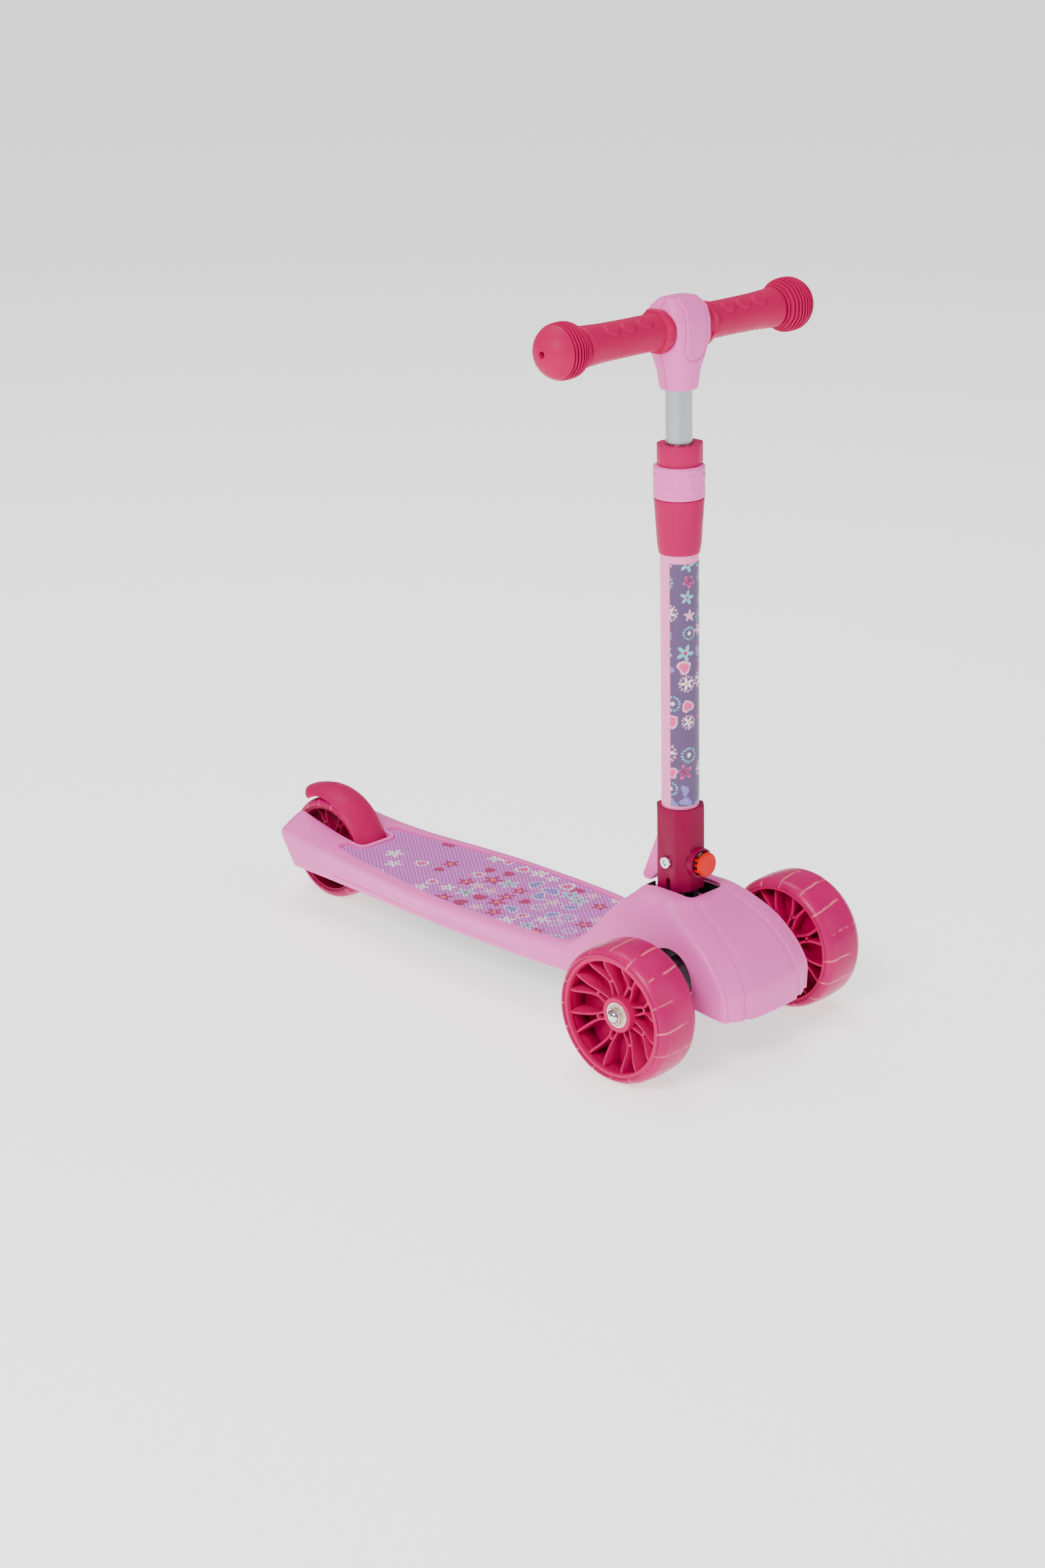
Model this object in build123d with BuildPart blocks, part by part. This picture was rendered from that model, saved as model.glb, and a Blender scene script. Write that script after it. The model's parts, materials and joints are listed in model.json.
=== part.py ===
from build123d import *
import os
from math import cos, radians, sin, sqrt

os.makedirs("parts", exist_ok=True)

# ---------------------------------------------------------------- driving dimensions (mm)
# +X is the rider's left, -Y is the direction of travel, Z = 0 is the ground.
WHEELBASE = 478.0
FRONT_WHEEL_D = 120.0
REAR_WHEEL_D = 100.0
NOSE = 70.0                 # hood nose ahead of the front axle
TRACK_OUT = 130.5           # outer face of a front wheel from the centre plane
FRONT_TYRE_W = 46.0
REAR_TYRE_W = 31.0
STEM_LEAN = 1.2             # degrees back from vertical
KINGPIN_LEAN = 25.0         # degrees back from vertical
DECK_BOTTOM = 37.5
DECK_TOP = 67.5
SKIN = 3.0                  # wall of the moulded shells
AXLE_R = 4.0
BEARING_R = 11.0            # 608 ball bearings
BEARING_W = 7.0
RUNNING = 0.05              # radial running clearance on shafts

FRONT_R = FRONT_WHEEL_D / 2
REAR_R = REAR_WHEEL_D / 2
LENGTH = NOSE + WHEELBASE + REAR_R
FRONT_Y = NOSE - LENGTH / 2
REAR_Y = FRONT_Y + WHEELBASE
FRONT_AXLE = Axis((0, FRONT_Y, FRONT_R), (1, 0, 0))

# fold pivot and the stem above it; s is the distance along the stem from the pivot
PIVOT_Y = FRONT_Y + 39.0
PIVOT_Z = 156.0
TUBE_R = 16.0
INNER_TUBE_R = 11.1
BLOCK_BOTTOM = -25.0
BLOCK_TOP = 48.0
FORK_TOP = 20.0
COLLAR_BOTTOM = 268.0
RING_BOTTOM = 314.4
RING_TOP = 341.6
COLLAR_TOP = 359.0
HEAD_BOTTOM = 404.0
BAR_AT = 454.0
HEAD_TOP = 482.7
BAR_R = 11.0
BAR_HALF = 129.5
BALL_R = 23.0
BALL_AT = 134.5

# brake fender: its curve is a circle a little behind and below the rear axle
FENDER_Y = REAR_Y + 8.0
FENDER_Z = REAR_R - 4.6
FENDER_R = 64.6
EDGE_R = FENDER_R - 5.5     # the crown falls away to its edges
FENDER_HALF = 19.0
KNUCKLE_Y = FRONT_Y + 414.0
KNUCKLE_Z = 54.0
SLOT_HALF = 20.0
SLOT_FRONT = FRONT_Y + 422.5


def finish(piece, name):
    """Label one finished piece and write its file."""
    piece.part.label = name
    export_step(piece.part, f"parts/{name}.step")


def across(x, y, z, side=1):
    """Plane square to the X axis, facing outwards on the given side."""
    return Plane(origin=(side * x, y, z), x_dir=(0, 1, 0), z_dir=(side, 0, 0))


def axial(y, z, side=1):
    """Plane that holds an X-parallel axis: local x runs outwards along it, local y is up."""
    return Plane(origin=(0, y, z), x_dir=(side, 0, 0), z_dir=(0, -side, 0))


def upright(y):
    """Plane square to the direction of travel: local x is X and local y is Z."""
    return Plane(origin=(0, y, 0), x_dir=(1, 0, 0), z_dir=(0, -1, 0))


def stem(s):
    """Plane square to the stem, s above the fold pivot."""
    lean = radians(STEM_LEAN)
    origin = (0, PIVOT_Y + s * sin(lean), PIVOT_Z + s * cos(lean))
    return Plane(origin=origin, x_dir=(1, 0, 0), z_dir=(0, sin(lean), cos(lean)))


def stem_front(s, depth):
    """Plane that faces forwards, depth ahead of the stem's axis: local y runs up the stem."""
    lean = radians(STEM_LEAN)
    base = stem(s).origin
    origin = (0, base.Y - depth * cos(lean), base.Z + depth * sin(lean))
    return Plane(origin=origin, x_dir=(1, 0, 0), z_dir=(0, -cos(lean), sin(lean)))


def king(k):
    """Plane square to the kingpin, k above the height of the front axle."""
    lean = radians(KINGPIN_LEAN)
    origin = (0, FRONT_Y + 25.9 + k * sin(lean), FRONT_R + k * cos(lean))
    return Plane(origin=origin, x_dir=(1, 0, 0), z_dir=(0, sin(lean), cos(lean)))


def spring(name, seats, direction, coil_r, wire_r, height, turns):
    """Helical springs, one standing on each seat point."""
    with BuildPart() as springs:
        for seat in seats:
            with BuildLine() as coil:
                Helix(pitch=height / turns, height=height, radius=coil_r, center=seat, direction=direction)
            with BuildSketch(Plane(origin=coil.line @ 0, z_dir=coil.line % 0)):
                Circle(wire_r)
            sweep(path=coil.line, is_frenet=True)
    finish(springs, name)


# ---------------------------------------------------------------- wheels
SPOKES = 8


def beside(radius, offset, degrees):
    """Point at a radius, offset square to the spoke pair's middle line at the given angle."""
    along = sqrt(radius ** 2 - offset ** 2)
    c, s = cos(radians(degrees)), sin(radians(degrees))
    return (along * c - offset * s, along * s + offset * c)


def spokes(inner_r, waist_r, outer_r, rib):
    """Pairs of ribs: side by side near the hub, linked at a waist, then curving apart to the rim."""
    spread = outer_r * sin(radians(10.7))
    with BuildSketch() as pattern:
        for i in range(SPOKES):
            middle = (i + 0.5) * 360 / SPOKES
            with BuildLine():
                Line(beside(waist_r, -2.6, middle), beside(waist_r, 2.6, middle))
            trace(line_width=rib)
            for hand in (-1, 1):
                with BuildLine():
                    Line(beside(inner_r, hand * 3.4, middle), beside(waist_r, hand * 2.6, middle))
                    ThreePointArc(
                        beside(waist_r, hand * 2.6, middle),
                        beside((waist_r + outer_r) / 2, hand * spread * 0.52, middle),
                        beside(outer_r, hand * spread, middle),
                    )
                trace(line_width=rib)
    return pattern.sketch


def hub(name, y, z, side, rim_out, rim_in, lip_in, x0, x1, spoke_x0, spoke_x1, boss_r, boss_x0, boss_x1):
    """Rim, ribbed spokes and bearing boss in one moulding; x values run outwards."""
    with BuildPart() as moulding:
        with BuildSketch(across(x0, y, z, side)):
            Circle(rim_out)
            Circle(rim_in, mode=Mode.SUBTRACT)
        extrude(amount=x1 - x0)
        with BuildSketch(across(x1 - 5, y, z, side)):
            Circle(rim_out)
            Circle(lip_in, mode=Mode.SUBTRACT)
        extrude(amount=5)
        with BuildSketch(across(spoke_x0, y, z, side)):
            add(spokes(boss_r - 1.5, boss_r + 11.5, (rim_out + rim_in) / 2, 2.4))
        extrude(amount=spoke_x1 - spoke_x0)
        with BuildSketch(across(boss_x0, y, z, side)):
            Circle(boss_r)
        extrude(amount=boss_x1 - boss_x0)
        with BuildSketch(across(boss_x0, y, z, side)):
            Circle(9)
        extrude(amount=boss_x1 - boss_x0, mode=Mode.SUBTRACT)
        for start in (boss_x0, boss_x1 - BEARING_W):
            with BuildSketch(across(start, y, z, side)):
                Circle(BEARING_R)
            extrude(amount=BEARING_W, mode=Mode.SUBTRACT)
    finish(moulding, name)


def tyre(name, y, z, side, outer_r, inner_r, x0, x1, shoulder):
    with BuildPart() as ring:
        with BuildSketch(axial(y, z, side)) as section:
            with Locations(((x0 + x1) / 2, (outer_r + inner_r) / 2)):
                Rectangle(x1 - x0, outer_r - inner_r)
            fillet(section.vertices().group_by(Axis.Y)[-1], shoulder)
        revolve(axis=Axis((0, y, z), (1, 0, 0)))
    finish(ring, name)


def bearings(name, y, z, side, starts):
    with BuildPart() as pair:
        for start in starts:
            with BuildSketch(across(start, y, z, side)):
                Circle(BEARING_R)
                Circle(AXLE_R + RUNNING, mode=Mode.SUBTRACT)
            extrude(amount=BEARING_W)
            with BuildSketch(across(start + BEARING_W - 0.6, y, z, side)):
                Circle(9.4)
                Circle(6.2, mode=Mode.SUBTRACT)
            extrude(amount=0.6, mode=Mode.SUBTRACT)
    finish(pair, name)


WHEEL_IN = TRACK_OUT - FRONT_TYRE_W
RIM_R = 53.0
BOSS_IN = 94.0
BOSS_OUT = 121.5
for side, hand in ((1, "left"), (-1, "right")):
    front = f"front_{hand}"
    tyre(f"{front}_tyre", FRONT_Y, FRONT_R, side, FRONT_R, RIM_R, WHEEL_IN, TRACK_OUT, 6.9)
    hub(f"{front}_hub", FRONT_Y, FRONT_R, side, RIM_R, RIM_R - 2.5, 48.8, WHEEL_IN + 1, TRACK_OUT - 1.5,
        93, 120, 15.5, BOSS_IN, BOSS_OUT)
    bearings(f"{front}_bearings", FRONT_Y, FRONT_R, side, (BOSS_IN, BOSS_OUT - BEARING_W))

    with BuildPart() as front_axle:
        with BuildSketch(across(66, FRONT_Y, FRONT_R, side)):
            Circle(AXLE_R)
        extrude(amount=59.5)
        with BuildSketch(across(121.9, FRONT_Y, FRONT_R, side)):
            RegularPolygon(7.2, 6)
        extrude(amount=3.6)
        with BuildSketch(axial(FRONT_Y, FRONT_R, side)):
            with BuildLine():
                Polyline((125, 0), (125, 6), (126.6, 5.6), (128, 4.4), (129, 2.4), (129.3, 0), close=True)
            make_face()
        revolve(axis=FRONT_AXLE)
    finish(front_axle, f"{front}_axle")

    with BuildPart() as magnet:
        with BuildSketch(across(BOSS_IN + BEARING_W + 0.5, FRONT_Y, FRONT_R, side)):
            Circle(8)
            Circle(AXLE_R, mode=Mode.SUBTRACT)
        extrude(amount=12.5)
    finish(magnet, f"{front}_magnet")

REAR_RIM_R = 42.0
REAR_BOSS = 12.5            # half length of the rear boss
tyre("rear_tyre", REAR_Y, REAR_R, 1, REAR_R, REAR_RIM_R, -REAR_TYRE_W / 2, REAR_TYRE_W / 2, 7.4)
hub("rear_hub", REAR_Y, REAR_R, 1, REAR_RIM_R, REAR_RIM_R - 2.5, REAR_RIM_R - 3.5, -14.5, 14.5,
    -7, 7, 13.5, -REAR_BOSS, REAR_BOSS)
bearings("rear_bearings", REAR_Y, REAR_R, 1, (-REAR_BOSS, REAR_BOSS - BEARING_W))

with BuildPart() as rear_axle:
    with BuildSketch(across(-42, REAR_Y, REAR_R)):
        Circle(AXLE_R)
    extrude(amount=84)
finish(rear_axle, "rear_axle")

with BuildPart() as rear_spacers:
    for side in (-1, 1):
        with BuildSketch(across(13, REAR_Y, REAR_R, side)):
            Circle(6.5)
            Circle(AXLE_R, mode=Mode.SUBTRACT)
        extrude(amount=SLOT_HALF - 13)
finish(rear_spacers, "rear_spacers")

# ---------------------------------------------------------------- deck
# distance behind the front axle, half width at the bottom and at the lip, lip height, middle height
DECK_STATIONS = (
    (118, 46, 56, 67.5, 67.5),
    (140, 48, 59, 67.5, 67.5),
    (166, 50, 62.5, 67.5, 67.5),
    (205, 51.5, 65, 67.5, 67.5),
    (250, 52, 65.5, 67.5, 67.5),
    (295, 51.5, 65, 67.5, 67.5),
    (335, 50, 62, 67.5, 67.5),
    (372, 48, 58, 67.5, 67.5),
    (410, 46.5, 54, 67.7, 67.7),
    (450, 45.5, 51, 69.5, 72),
    (485, 45, 49.5, 72.5, 79),
    (512, 44, 48, 75, 86),
)
TAIL_SOLID = FRONT_Y + 371.0
TRAY_TOP = 40.0
MAT_TOP = 66.3
MAT_T = 1.8


def deck_sections(inset, stations, floor, roof_drop):
    """Cross-sections of the board; inset and roof_drop make the hollow inside it."""
    sections = []
    for y, low, wide, lip, middle in stations:
        with BuildSketch(upright(FRONT_Y + y)) as section:
            with BuildLine():
                half = [
                    (low - inset, floor),
                    (wide - inset, lip - 7),
                    (wide - inset - 1.5, lip - roof_drop),
                    (SLOT_HALF + 2, middle - roof_drop),
                ]
                mirrored = [(-x, z) for x, z in reversed(half)]
                Polyline(*half, *mirrored, close=True)
            make_face()
        sections.append(section.sketch)
    return sections


def mat_outline(grow):
    """Mat seen from above, with the notch round the rear wheel slot."""
    front = FRONT_Y + 127
    back = FRONT_Y + 438
    with BuildSketch() as outline:
        with BuildLine():
            Line((-47 - grow, front - grow), (47 + grow, front - grow))
            Spline((47 + grow, front - grow), (56 + grow, FRONT_Y + 210), (57 + grow, FRONT_Y + 270),
                   (49 + grow, FRONT_Y + 350), (36.5 + grow, back + grow))
            Line((36.5 + grow, back + grow), (-36.5 - grow, back + grow))
            Spline((-36.5 - grow, back + grow), (-49 - grow, FRONT_Y + 350), (-57 - grow, FRONT_Y + 270),
                   (-56 - grow, FRONT_Y + 210), (-47 - grow, front - grow))
        make_face()
        with Locations((0, SLOT_FRONT + 50 - 3.5 + grow)):
            RectangleRounded(2 * SLOT_HALF + 7 - 2 * grow, 100, 10, mode=Mode.SUBTRACT)
    return outline.sketch


with BuildPart() as deck_shell:
    loft(deck_sections(0, DECK_STATIONS, DECK_BOTTOM, 0), ruled=True)
    # hollow under the foot board
    hollow = [(110, 46, 56, 67.5, 67.5)] + [row for row in DECK_STATIONS if row[0] < 390]
    loft(deck_sections(SKIN, hollow, DECK_BOTTOM - 1, 5), ruled=True, mode=Mode.SUBTRACT)
    # the tail stands on the undertray
    with BuildSketch(Plane.XY.offset(DECK_BOTTOM - 1)):
        with Locations((0, TAIL_SOLID + 100)):
            Rectangle(140, 200)
    extrude(amount=TRAY_TOP - DECK_BOTTOM + 1, mode=Mode.SUBTRACT)
    # sloping end faces of the tail arms
    with BuildSketch(across(-80, 0, 0)):
        with BuildLine():
            Polyline((FRONT_Y + 488, 30), (FRONT_Y + 513, 75), (FRONT_Y + 513, 90), (FRONT_Y + 540, 90),
                     (FRONT_Y + 540, 30), close=True)
        make_face()
    extrude(amount=160, mode=Mode.SUBTRACT)
    # slot for the rear wheel, and the pocket for the fender's knuckle ahead of it
    with BuildSketch(Plane.XY.offset(DECK_BOTTOM - 1)):
        with Locations((0, SLOT_FRONT + 60)):
            RectangleRounded(2 * SLOT_HALF, 120, 8)
    extrude(amount=60, mode=Mode.SUBTRACT)
    with BuildSketch(Plane.XY.offset(DECK_BOTTOM - 1)):
        with Locations((0, (FRONT_Y + 403 + SLOT_FRONT + 10) / 2)):
            Rectangle(2 * SLOT_HALF, SLOT_FRONT + 10 - FRONT_Y - 403)
    extrude(amount=62.3 - DECK_BOTTOM + 1, mode=Mode.SUBTRACT)
    # recess for the mat
    with BuildSketch(Plane.XY.offset(MAT_TOP - MAT_T)):
        add(mat_outline(0.2))
    extrude(amount=10, mode=Mode.SUBTRACT)
    # seat for the hood's rear edge
    with BuildSketch(across(-80, FRONT_Y, 0)):
        with BuildLine():
            Polyline((110, 66), (126, 66), (126, 80), (110, 80), close=True)
        make_face()
    extrude(amount=160, mode=Mode.SUBTRACT)
    # rear axle and fender pin holes
    with BuildSketch(across(-42, REAR_Y, REAR_R)):
        Circle(AXLE_R)
    extrude(amount=84, mode=Mode.SUBTRACT)
    with BuildSketch(across(-25, KNUCKLE_Y, KNUCKLE_Z)):
        Circle(2)
    extrude(amount=50, mode=Mode.SUBTRACT)
finish(deck_shell, "deck_shell")

with BuildPart() as deck_mat:
    with BuildSketch(Plane.XY.offset(MAT_TOP - MAT_T)):
        add(mat_outline(0))
    extrude(amount=MAT_T)
finish(deck_mat, "deck_mat")

UNDERTRAY_SCREWS = ((-34, 150), (34, 150), (-34, 350), (34, 350))
with BuildPart() as deck_undertray:
    with BuildSketch(Plane.XY.offset(DECK_BOTTOM)):
        inner = [(row[1] - SKIN - 0.3, FRONT_Y + row[0]) for row in DECK_STATIONS if row[0] < 370]
        tail = [(row[1] - 0.6, FRONT_Y + row[0]) for row in DECK_STATIONS if 400 < row[0] < 480]
        waist = [(44.6, TAIL_SOLID + 0.3), (47.2, TAIL_SOLID + 0.3)]
        edge = inner + waist + tail + [(44.4, FRONT_Y + 489)]
        mirrored = [(-x, y) for x, y in reversed(edge)]
        with BuildLine():
            Polyline(*edge, *mirrored, close=True)
        make_face()
        with Locations((0, (FRONT_Y + 403 + FRONT_Y + 520) / 2)):
            Rectangle(2 * SLOT_HALF, 117, mode=Mode.SUBTRACT)
        with Locations(*[(x, FRONT_Y + y) for x, y in UNDERTRAY_SCREWS]):
            Circle(1.8, mode=Mode.SUBTRACT)
    extrude(amount=TRAY_TOP - DECK_BOTTOM)
    # screw posts that reach up to the board
    with BuildSketch(Plane.XY.offset(DECK_BOTTOM)):
        with Locations(*[(x, FRONT_Y + y) for x, y in UNDERTRAY_SCREWS]):
            Circle(4)
            Circle(1.8, mode=Mode.SUBTRACT)
    extrude(amount=62 - DECK_BOTTOM)
finish(deck_undertray, "deck_undertray")

with BuildPart() as undertray_screws:
    for x, y in UNDERTRAY_SCREWS:
        with BuildSketch(Plane.XY.offset(DECK_BOTTOM - 2)):
            with Locations((x, FRONT_Y + y)):
                Circle(3.4)
        extrude(amount=2)
        with BuildSketch(Plane.XY.offset(DECK_BOTTOM)):
            with Locations((x, FRONT_Y + y)):
                Circle(1.7)
        extrude(amount=20)
finish(undertray_screws, "undertray_screws")

# ---------------------------------------------------------------- hood
# height, nose, half width of the middle band, half width, rear edge (all from the front axle)
HOOD_STATIONS = (
    (DECK_BOTTOM, -70, 31, 54, 117.6),
    (56, -70, 30, 55, 117.6),
    (66, -69.5, 29, 56, 117.6),
    (68, -69, 29, 56, 125.8),
    (74, -67.5, 28, 56, 117),
    (84, -62, 27.5, 55.5, 104),
    (94, -54, 26.5, 54.5, 95),
    (104, -44, 25, 53, 87),
    (112, -33, 23.5, 51, 80),
    (119, -20, 21.5, 48, 73),
    (125, -8, 19, 44, 66.5),
    (130, 3, 17, 38, 60),
    (133.5, 12, 15, 29, 53),
)
OPENING_FRONT = FRONT_Y + 8.0
OPENING_REAR = FRONT_Y + 62.0
OPENING_HALF = 21.5


def hood_sections(inset, drop):
    """Level outlines of the hood; inset and drop make the hollow inside it."""
    sections = []
    for height, nose, band, wide, back in HOOD_STATIONS:
        with BuildSketch(Plane.XY.offset(height - drop)) as section:
            front = FRONT_Y + nose + inset
            rear = FRONT_Y + back - inset
            half = [
                (band, front + 1.5),
                (wide - inset - 8, front + 7),
                (wide - inset, front + 17),
                (wide - inset, rear - 14),
                (wide - inset - 10, rear - 2),
                (8, rear),
            ]
            mirrored = [(-x, y) for x, y in reversed(half)]
            with BuildLine():
                Polyline((0, front), *half, *mirrored, close=True)
            make_face()
        sections.append(section.sketch)
    return sections


with BuildPart() as front_hood:
    loft(hood_sections(0, 0), ruled=True)
    loft(hood_sections(SKIN, SKIN), ruled=True, mode=Mode.SUBTRACT)
    # the lower edge is cut away ahead of the deck
    with BuildSketch(across(-80, FRONT_Y, 0)):
        with BuildLine():
            Polyline((-80, 20), (-80, 46), (-30, 52), (36, 52), (60, 30), (60, 20), close=True)
        make_face()
    extrude(amount=160, mode=Mode.SUBTRACT)
    # arches for the axle beam
    with BuildSketch(across(-80, FRONT_Y + 2, 71)):
        Circle(27)
        with Locations((0, -20)):
            Rectangle(54, 40)
    extrude(amount=160, mode=Mode.SUBTRACT)
    # stem opening with a narrow slot behind it for the fin
    with BuildSketch(Plane.XY.offset(90)):
        with Locations((0, (OPENING_FRONT + OPENING_REAR) / 2)):
            RectangleRounded(2 * OPENING_HALF, OPENING_REAR - OPENING_FRONT, 7)
        with Locations((0, OPENING_REAR + 10)):
            Rectangle(14, 28)
    extrude(amount=60, mode=Mode.SUBTRACT)
    # open back where the deck begins
    with BuildSketch(upright(FRONT_Y + 140)):
        with Locations((0, 50)):
            Rectangle(100, 31)
    extrude(amount=40, mode=Mode.SUBTRACT)
finish(front_hood, "front_hood")

with BuildPart() as hood_bezel:
    with BuildSketch(Plane.XY.offset(118)):
        with Locations((0, (OPENING_FRONT + OPENING_REAR) / 2)):
            RectangleRounded(2 * OPENING_HALF, OPENING_REAR - OPENING_FRONT, 7)
            RectangleRounded(2 * OPENING_HALF - 3, OPENING_REAR - OPENING_FRONT - 3, 5.5, mode=Mode.SUBTRACT)
        with Locations((0, OPENING_REAR)):
            Rectangle(14, 10, mode=Mode.SUBTRACT)
    extrude(amount=12)
finish(hood_bezel, "hood_bezel")

# ---------------------------------------------------------------- front bracket and kingpin
KINGPIN_R = 5.9
CHEEK_IN = 5.5
CHEEK_T = 6.0
EYE_R = 14.8
BRACKET_SCREWS = ((-18, 135), (18, 135), (-18, 165), (18, 165))
with BuildPart() as front_bracket:
    # foot under the board
    with BuildSketch(Plane.XY.offset(57)):
        with Locations((0, FRONT_Y + 114)):
            Rectangle(52, 128)
        with Locations(*[(x, FRONT_Y + y) for x, y in BRACKET_SCREWS]):
            Circle(3, mode=Mode.SUBTRACT)
    extrude(amount=5.4)
    # upright wall
    with BuildSketch(upright(FRONT_Y + 58)):
        with Locations((0, 65)):
            Rectangle(40, 68)
    extrude(amount=8)
    # lugs round the kingpin with their webs
    for low, high, web_low, web_high in ((-19, -13, 34, 44), (17, 23, 74, 82)):
        with BuildSketch(Plane.XY.offset(web_low)):
            with Locations((0, FRONT_Y + 40)):
                Rectangle(24, 30)
        extrude(amount=web_high - web_low)
        with BuildSketch(king(low)):
            Circle(14)
        extrude(amount=high - low)
    # room for the truck's sleeve between the lugs
    with BuildSketch(king(-13)):
        Circle(15)
    extrude(amount=30, mode=Mode.SUBTRACT)
    # hinge cheeks
    for side in (-1, 1):
        with BuildSketch(across(CHEEK_IN, PIVOT_Y, PIVOT_Z, side)):
            with BuildLine():
                Polyline((-9, -57 * side), (19, -57 * side), (13, -10 * side), (-13, -10 * side), close=True)
            make_face()
            Circle(EYE_R)
            Circle(AXLE_R + RUNNING, mode=Mode.SUBTRACT)
        extrude(amount=CHEEK_T)
    # side plates that carry the cheeks down to the wall
    for side in (-1, 1):
        with BuildSketch(across(CHEEK_IN, FRONT_Y, 0, side)):
            with BuildLine():
                Polyline((30, 78 * side), (58, 78 * side), (58, 101 * side), (30, 101 * side), close=True)
            make_face()
        extrude(amount=CHEEK_T)
    # kingpin hole and the seats for its head and nut
    with BuildSketch(king(-19)):
        Circle(KINGPIN_R)
    extrude(amount=60, mode=Mode.SUBTRACT)
    for seat, depth in ((23, 12), (-19, -16)):
        with BuildSketch(king(seat)):
            Circle(10)
        extrude(amount=depth, mode=Mode.SUBTRACT)
finish(front_bracket, "front_bracket")

with BuildPart() as bracket_screws:
    for x, y in BRACKET_SCREWS:
        with BuildSketch(Plane.XY.offset(53)):
            with Locations((x, FRONT_Y + y)):
                RegularPolygon(5, 6)
        extrude(amount=4)
        with BuildSketch(Plane.XY.offset(57)):
            with Locations((x, FRONT_Y + y)):
                Circle(2.9)
        extrude(amount=5.3)
finish(bracket_screws, "bracket_screws")

with BuildPart() as kingpin:
    with BuildSketch(king(-19)):
        Circle(KINGPIN_R)
    extrude(amount=42)
    with BuildSketch(king(23)):
        RegularPolygon(9, 6)
    extrude(amount=5)
    with BuildSketch(king(-26)):
        Circle(4)
    extrude(amount=7)
finish(kingpin, "kingpin")

with BuildPart() as kingpin_nut:
    with BuildSketch(king(-26)):
        RegularPolygon(7.5, 6)
        Circle(4, mode=Mode.SUBTRACT)
    extrude(amount=6.8)
    with BuildSketch(king(-26)):
        Circle(6.4)
    extrude(amount=-7, taper=38)
finish(kingpin_nut, "kingpin_nut")

# ---------------------------------------------------------------- steering truck
SLEEVE_TOP = 7.0
# distance out, middle behind the axle, middle height, depth, height
BEAM_STATIONS = ((5, 25, 61, 20, 24), (26, 14, 64, 18, 30), (52, 0, 68, 18, 42), (66, 0, 65, 17, 34))
with BuildPart() as axle_beam:
    with BuildSketch(king(-11)):
        Circle(14)
    extrude(amount=SLEEVE_TOP + 11)
    for side in (-1, 1):
        for x, y, z, deep, high in BEAM_STATIONS:
            with BuildSketch(across(x, FRONT_Y + y, z, side)):
                RectangleRounded(deep, high, 5)
        loft(ruled=True)
        with BuildSketch(across(60, FRONT_Y, FRONT_R, side)):
            Circle(10.5)
        extrude(amount=31)
        with BuildSketch(across(66, FRONT_Y, FRONT_R, side)):
            Circle(AXLE_R)
        extrude(amount=26, mode=Mode.SUBTRACT)
    with BuildSketch(king(-30)):
        Circle(KINGPIN_R + RUNNING)
    extrude(amount=60, mode=Mode.SUBTRACT)
    # flats above and below the sleeve give the centring spring and the bracket's lugs room
    with BuildSketch(king(SLEEVE_TOP)):
        Circle(12)
    extrude(amount=20, mode=Mode.SUBTRACT)
    with BuildSketch(king(15.5)):
        Circle(19)
    extrude(amount=20, mode=Mode.SUBTRACT)
    with BuildSketch(king(-11)):
        Circle(19)
    extrude(amount=-20, mode=Mode.SUBTRACT)
finish(axle_beam, "axle_beam")

with BuildPart() as thrust_washers:
    for k in (-12.4, 15.2):
        with BuildSketch(king(k)):
            Circle(10)
            Circle(KINGPIN_R + RUNNING, mode=Mode.SUBTRACT)
        extrude(amount=1.4)
finish(thrust_washers, "thrust_washers")

spring("centring_spring", [king(SLEEVE_TOP + 1.3).origin], king(0).z_dir, 8.6, 0.9, 5.6, 3)

# ---------------------------------------------------------------- brake fender
with BuildPart() as brake_fender:
    start = 58
    section = Plane(origin=(0, FENDER_Y, FENDER_Z), x_dir=(1, 0, 0),
                    z_dir=(0, -sin(radians(start)), cos(radians(start))))
    with BuildSketch(section):
        with BuildLine():
            ThreePointArc((-FENDER_HALF, EDGE_R), (0, FENDER_R), (FENDER_HALF, EDGE_R))
            Line((FENDER_HALF, EDGE_R), (FENDER_HALF - 1.5, EDGE_R - 2))
            inner = FENDER_HALF - 1.5
            ThreePointArc((inner, EDGE_R - 2), (0, FENDER_R - 2.4), (-inner, EDGE_R - 2))
            Line((-inner, EDGE_R - 2), (-FENDER_HALF, EDGE_R))
        make_face()
    revolve(axis=Axis((0, FENDER_Y, FENDER_Z), (1, 0, 0)), revolution_arc=106)
    # root and knuckle
    with BuildSketch(across(-17, KNUCKLE_Y, KNUCKLE_Z)):
        Circle(5)
        with BuildLine():
            Polyline((-1, -4.5), (6, -1), (10.5, 4), (12.5, 7), (14.5, 12), (11.8, 11), (9.4, 6.8), (5, 5.8),
                     (-2, 4.6), close=True)
        make_face()
    extrude(amount=34)
    with BuildSketch(across(-17, KNUCKLE_Y, KNUCKLE_Z)):
        Circle(2 + RUNNING)
    extrude(amount=34, mode=Mode.SUBTRACT)
    with BuildSketch(across(-7, KNUCKLE_Y, KNUCKLE_Z)):
        Circle(6.5)
    extrude(amount=14, mode=Mode.SUBTRACT)
finish(brake_fender, "brake_fender")

with BuildPart() as fender_pin:
    with BuildSketch(across(-25, KNUCKLE_Y, KNUCKLE_Z)):
        Circle(2)
    extrude(amount=50)
finish(fender_pin, "fender_pin")

spring("fender_spring", [(-6, KNUCKLE_Y, KNUCKLE_Z)], (1, 0, 0), 3.4, 0.7, 12, 6)

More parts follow.
